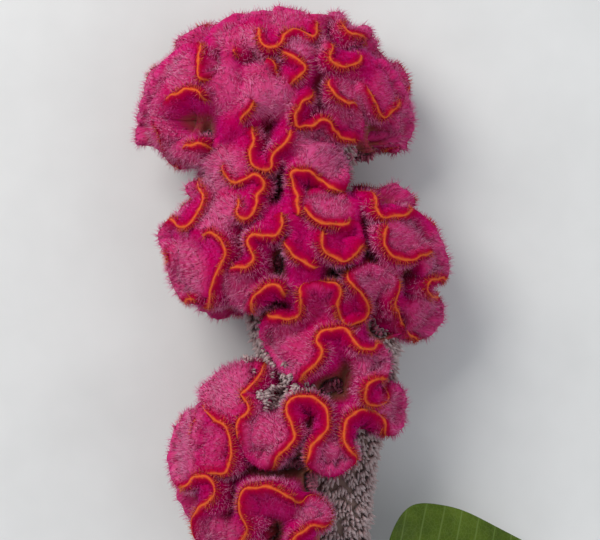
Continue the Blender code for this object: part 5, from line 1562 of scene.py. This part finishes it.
def bristle_material():
    """Bristles coloured like the skin under them, with paler tips where the comb is pale, and
    orange-pink ones beside the growing edge."""
    material, tree, shader = start_material("comb_bristle", 0.6, flesh=0.4, flesh_scale=0.001,
                                            gloss=0.0)
    colour, _, pale = comb_colour(tree)
    _, depth, _ = run_and_depth(tree)
    share = times(tree, fade(tree, layer(tree, "tip"), *TIP_REACH), fade(tree, pale, *TIP_PALENESS),
                  fade(tree, layer(tree, "tone"), *TIP_TONES))
    end = blended(tree, fade(tree, depth, *TIP_DEPTHS), TOOTH_TIP_COLOUR, BRISTLE_TIP_COLOUR)
    dress(tree, shader, blended(tree, share, colour, end))
    return material


def floret_material(name, colours):
    """Papery tepals: coloured at the base, pale towards the tip, each a little different."""
    material, tree, shader = start_material(name, 0.45, sheen=0.2, flesh=0.15,
                                            flesh_radius=(1.0, 0.7, 0.7), flesh_scale=0.001)
    mottle = noise(tree, place_of(tree), 900.0, 2.0)
    level = reckon(tree, "MULTIPLY_ADD", layer(tree, "tone"), TONE_SHIFT,
                   reckon(tree, "SUBTRACT", layer(tree, "tip"), TONE_MIDDLE))
    level = reckon(tree, "MULTIPLY_ADD", mottle, MOTTLE_SHIFT,
                   reckon(tree, "SUBTRACT", level, MOTTLE_MIDDLE))
    dress(tree, shader, ramp(tree, level, list(zip(TEPAL_STOPS, colours))))
    return material


def rachis_material():
    """Blotched, brownish skin of the rachis between its florets."""
    material, tree, shader = start_material("rachis_skin", 0.65, sheen=0.15, flesh=0.15)
    blotch = noise(tree, place_of(tree), 130.0, 4.0, 0.6)
    dress(tree, shader, ramp(tree, blotch, RACHIS_RAMP), blotch, distance=0.0005)
    return material


def stem_material():
    """Green stem with fibres along it, a red blush towards the head and a pale cut face."""
    material, tree, shader = start_material("stem_skin", 0.42, sheen=0.05, flesh=0.1,
                                            flesh_radius=(0.5, 1.0, 0.2), flesh_scale=0.001)
    place = place_of(tree)
    stretch = node(tree, "ShaderNodeMapping", (("Vector", place), ("Scale", FIBRE_STRETCH)))
    fibre = noise(tree, stretch.outputs[0], 900.0, 3.0, 0.6)
    blotch = noise(tree, place, 55.0)
    height = node(tree, "ShaderNodeSeparateXYZ", ((0, place),)).outputs[1]
    blush = times(tree, fade(tree, height, *BLUSH_HEIGHTS), fade(tree, blotch, 0.35, 0.6),
                  BLUSH_SHARE)
    colour = blended(tree, blush, ramp(tree, fibre, STEM_RAMP), BLUSH_COLOUR)
    colour = blended(tree, fade(tree, height, *PITH_HEIGHTS, 1.0, 0.0), colour, PITH_COLOUR)
    dress(tree, shader, colour, fibre, strength=0.35, distance=0.0003)
    return material


def leaf_material():
    """Leaf green with a paler rib, side veins and fine net, and a duller underside."""
    material, tree, shader = start_material("leaf_blade", 0.5, sheen=0.02, flesh=0.15,
                                            flesh_radius=(0.4, 1.0, 0.15), flesh_scale=0.001,
                                            gloss=0.12)
    run, from_rib, _ = run_and_depth(tree)
    place = place_of(tree)
    mottle = noise(tree, place, 90.0, 4.0, 0.6)
    cells = node(tree, "ShaderNodeTexVoronoi", (("Vector", place), ("Scale", 700.0)),
                 feature="DISTANCE_TO_EDGE").outputs[0]
    half_pitch = 0.5 * VEIN_PITCH
    slant = reckon(tree, "MULTIPLY_ADD", from_rib, -VEIN_SLANT, run)
    ripple = reckon(tree, "PINGPONG", reckon(tree, "ADD", slant, half_pitch), half_pitch)
    rib = fade(tree, from_rib, 0.35, 1.0, 1.0, 0.0)
    vein = times(tree, fade(tree, ripple, 0.15, 0.55, 1.0, 0.0), SIDE_VEIN_STRENGTH)
    net = times(tree, fade(tree, cells, 0.0, 0.12, 1.0, 0.0), NET_STRENGTH)
    pale = reckon(tree, "MAXIMUM", reckon(tree, "MAXIMUM", rib, vein), net)
    colour = blended(tree, times(tree, pale, VEIN_SHARE), ramp(tree, mottle, LEAF_RAMP), VEIN_COLOUR)
    under = times(tree, layer(tree, "underside"), UNDERSIDE_SHARE)
    colour = blended(tree, under, colour, UNDERSIDE_COLOUR)
    dress(tree, shader, colour, reckon(tree, "MULTIPLY_ADD", pale, -0.6, mottle))
    return material


def settle_piece(name, parts, material, node_name):
    """Adds one piece made of several parts, rides it on the root and hides the imported node that it
    stands in for.
    """
    points, faces, layers = merged(parts)
    uv = layers.pop("uv", None)
    piece = add_piece(name, points, faces, material, uv, layers)
    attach(piece, "root")
    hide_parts(node_name)


def front_fold(number):
    """A front fold, by its place in FRONT_RIDGES, and its spine with the run and the heading."""
    ridge, run = even_stations(front_ridge(FRONT_RIDGES[number]), FRONT_STEP)
    ridge, roll = ridge[:, :3], ridge[:, 3]
    heading = unit(np.gradient(ridge[:, :2], axis=0))
    spine = np.concatenate([ridge, run[:, None], heading], axis=1)[::2]
    skin = fold(ridge, run, front_root(ridge, run), roll, seed=FRONT_SEED + number)
    skin["pale"] = paleness(skin["rings"][..., 0], skin["rings"][..., 1])
    return skin, spine


def back_fold(number):
    """A back fold, by its place in BACK_CRESTS, with lips that roll over here and there."""
    crest = BACK_CRESTS[number]
    ridge, run = even_stations(back_ridge(*crest), BACK_STEP)
    rng = np.random.default_rng(BACK_ROLL_SEED + number)
    roll = np.clip(BACK_ROLL * waves(run, BACK_ROLL_WAVE, rng), 0.0, None)
    below = SWELLS[crest[0]][4] - ridge[:, 2]
    outline = np.interp(below, (OUTLINE_DEPTH, 2.0 * OUTLINE_DEPTH), (OUTLINE_ROLL, 0.0))
    roll = np.maximum(roll, outline)
    skin = fold(ridge, run, back_root(ridge, run, crest[0]), roll, seed=BACK_SEED + number)
    skin["pale"] = np.full(skin["depth"].shape, BACK_PALENESS)
    return skin


def skin_tree(skins):
    """Search tree over several skins, to tell what is buried."""
    points, faces, _ = merged([tube(skin["rings"]) for skin in skins])
    corners = [tuple(face) for part in faces for face in part.tolist()]
    return BVHTree.FromPolygons(points.tolist(), corners)


def build_comb():
    """The comb's folds, the velvet between them, their bristles and the chaff in the deep places.
    Returns the skins that florets climb in the gaps, and the search tree."""
    flesh, bristle = comb_material(), bristle_material()
    fronts, spines = zip(*(front_fold(n) for n in range(len(FRONT_RIDGES))))
    backs = [back_fold(n) for n in range(len(BACK_CRESTS))]
    between = velvet(np.vstack(spines))
    tree = skin_tree((*fronts, *backs, between))
    groups = (("main_fold", fronts[:1], 1.0), ("front_folds", fronts[1:], 1.0),
              ("crown_back_folds", backs[:2], BACK_THINNER),
              ("lower_back_folds", backs[2:], BACK_THINNER))
    for number, (name, skins, thinner) in enumerate(groups):
        rng = np.random.default_rng(BRISTLE_SEED + number)
        settle_piece(name, [skin_part(skin) for skin in skins], flesh, "comb")
        bristles = [bristles_on(skin, tree, thinner, rng) for skin in skins]
        bristles += [teeth_on(skin, tree, rng) for skin in skins]
        settle_piece(f"{name}_bristles", bristles, bristle, "comb")
    settle_piece("velvet", [skin_part(between)], flesh, "comb")
    rng = np.random.default_rng(HAIR_SEED)
    settle_piece("velvet_hairs", [hairs_on(between, tree, rng)], bristle, "comb")
    chaff = floret_material("comb_chaff", CHAFF_COLOURS)
    settle_piece("comb_chaff", [chaff_on(between, tree, rng)], chaff, "comb")
    return (fronts[0], between), tree


def gap_florets(skins, tree, rng):
    """Florets that climb the comb's flanks in the gaps that show the rachis."""
    parts = []
    for skin in skins:
        x, y = skin["rings"][..., 0], skin["rings"][..., 1]
        inside = np.min([oval(x, y, *gap) for gap in FLORET_GAPS], axis=0) < 1.0
        wanted = inside & (np.abs(skin["depth"]) > GAP_DEPTH)
        base, out, _, _ = seated(skin, GAP_DENSITY * cell_means(wanted), rng)
        out = unit(out + (0.0, -GAP_DROOP, 0.0) + FLORET_STRAY * rng.normal(size=out.shape))
        clear = in_the_open(tree, base + FLORET_LOOKOUT * out, out)
        length = GAP_LENGTH * rng.uniform(*FLORET_LENGTHS, clear.sum())
        points, faces, layers = florets(base[clear], out[clear], length, rng)
        # The gap florets' tone is raised: painted light, making them paler than the florets of the
        # rachis
        parts.append((points, faces, {**layers, "tone": GAP_PAINTED_LIGHT * layers["tone"]}))
    return parts


def build_rachis(flanks, tree):
    """The rachis and its florets, which stand in staggered rows, point out and droop down the plant.
    In the gaps they climb the flanks of the comb too."""
    rings = rachis_rings()
    settle_piece("rachis_core", [tube(rings)], rachis_material(), "rachis")
    rng = np.random.default_rng(FLORET_SEED)
    row, column = floret_spots(rings, rng)
    base = sampled(rings, row, column)
    outward = unit(np.cross(np.gradient(rings, axis=1), np.gradient(rings, axis=0)))
    out = unit(sampled(outward, row, column))
    out = out + (0.0, -FLORET_DROOP, 0.0) + FLORET_STRAY * rng.normal(size=out.shape)
    length = FLORET_LENGTH * rng.uniform(*FLORET_LENGTHS, len(base))
    parts = [florets(base, unit(out), length, rng), *gap_florets(flanks, tree, rng)]
    papery = floret_material("rachis_tepals", TEPAL_COLOURS)
    settle_piece("rachis_florets", parts, papery, "rachis")


def build_stem():
    """The grooved stem with its cut end."""
    settle_piece("stem_stalk", [tube(stem_rings())], stem_material(), "stem")


def build_leaves():
    """The leaves, each in the place of its own node."""
    green = leaf_material()
    for number, leaf in enumerate(LEAVES):
        settle_piece(f"leaf_blade_{number}", [leaf_part(*leaf)], green, f"leaf_{number}")


def area_light(name, place, target, size, power, colour):
    """Soft square light at a place, aimed at a target, both in metres."""
    data = bpy.data.lights.new(name, "AREA")
    data.size = size
    data.energy = power
    data.color = colour
    light = bpy.data.objects.new(name, data)
    light.location = place
    aim = Vector(target) - Vector(place)
    light.rotation_euler = aim.to_track_quat("-Z", "Y").to_euler()
    bpy.context.scene.collection.objects.link(light)


def build_floor():
    """Pale, faintly mottled paper under the flower."""
    half = FLOOR_HALF
    mesh = bpy.data.meshes.new("floor")
    mesh.from_pydata([(-half, -half, 0), (half, -half, 0), (half, half, 0), (-half, half, 0)], [],
                     [(0, 1, 2, 3)])
    floor = bpy.data.objects.new("floor", mesh)
    bpy.context.scene.collection.objects.link(floor)
    material, tree, shader = start_material("floor_paper", 0.85)
    dress(tree, shader, ramp(tree, noise(tree, place_of(tree), 30.0), FLOOR_RAMP))
    mesh.materials.append(material)


def build_studio():
    """Soft studio light from the upper left, and the camera straight above the bloom."""
    scene = bpy.context.scene
    scene.world = bpy.data.worlds.new("studio")
    scene.world.use_nodes = True
    sky = scene.world.node_tree.nodes["Background"]
    sky.inputs["Color"].default_value = (*SKY_COLOUR, 1.0)
    sky.inputs["Strength"].default_value = SKY_STRENGTH
    bloom = BLOOM_CENTRE * MM
    for name, place, size, power, colour in LIGHTS:
        area_light(name, bloom + place, bloom, size, power, colour)
    camera = bpy.data.objects.new("camera", bpy.data.cameras.new("camera"))
    camera.data.sensor_width = SENSOR_WIDTH
    camera.data.lens = SENSOR_WIDTH * CAMERA_DISTANCE / FRAME_WIDTH
    camera.data.clip_start = CLIP_START
    camera.location = bloom + (0.0, 0.0, CAMERA_DISTANCE + FRAME_HEIGHT_ABOVE)
    scene.collection.objects.link(camera)
    scene.camera = camera
    scene.view_settings.view_transform = "Standard"


def main():
    """Builds the pieces and the stage."""
    flanks, tree = build_comb()
    build_rachis(flanks, tree)
    build_stem()
    build_leaves()
    build_floor()
    build_studio()


main()
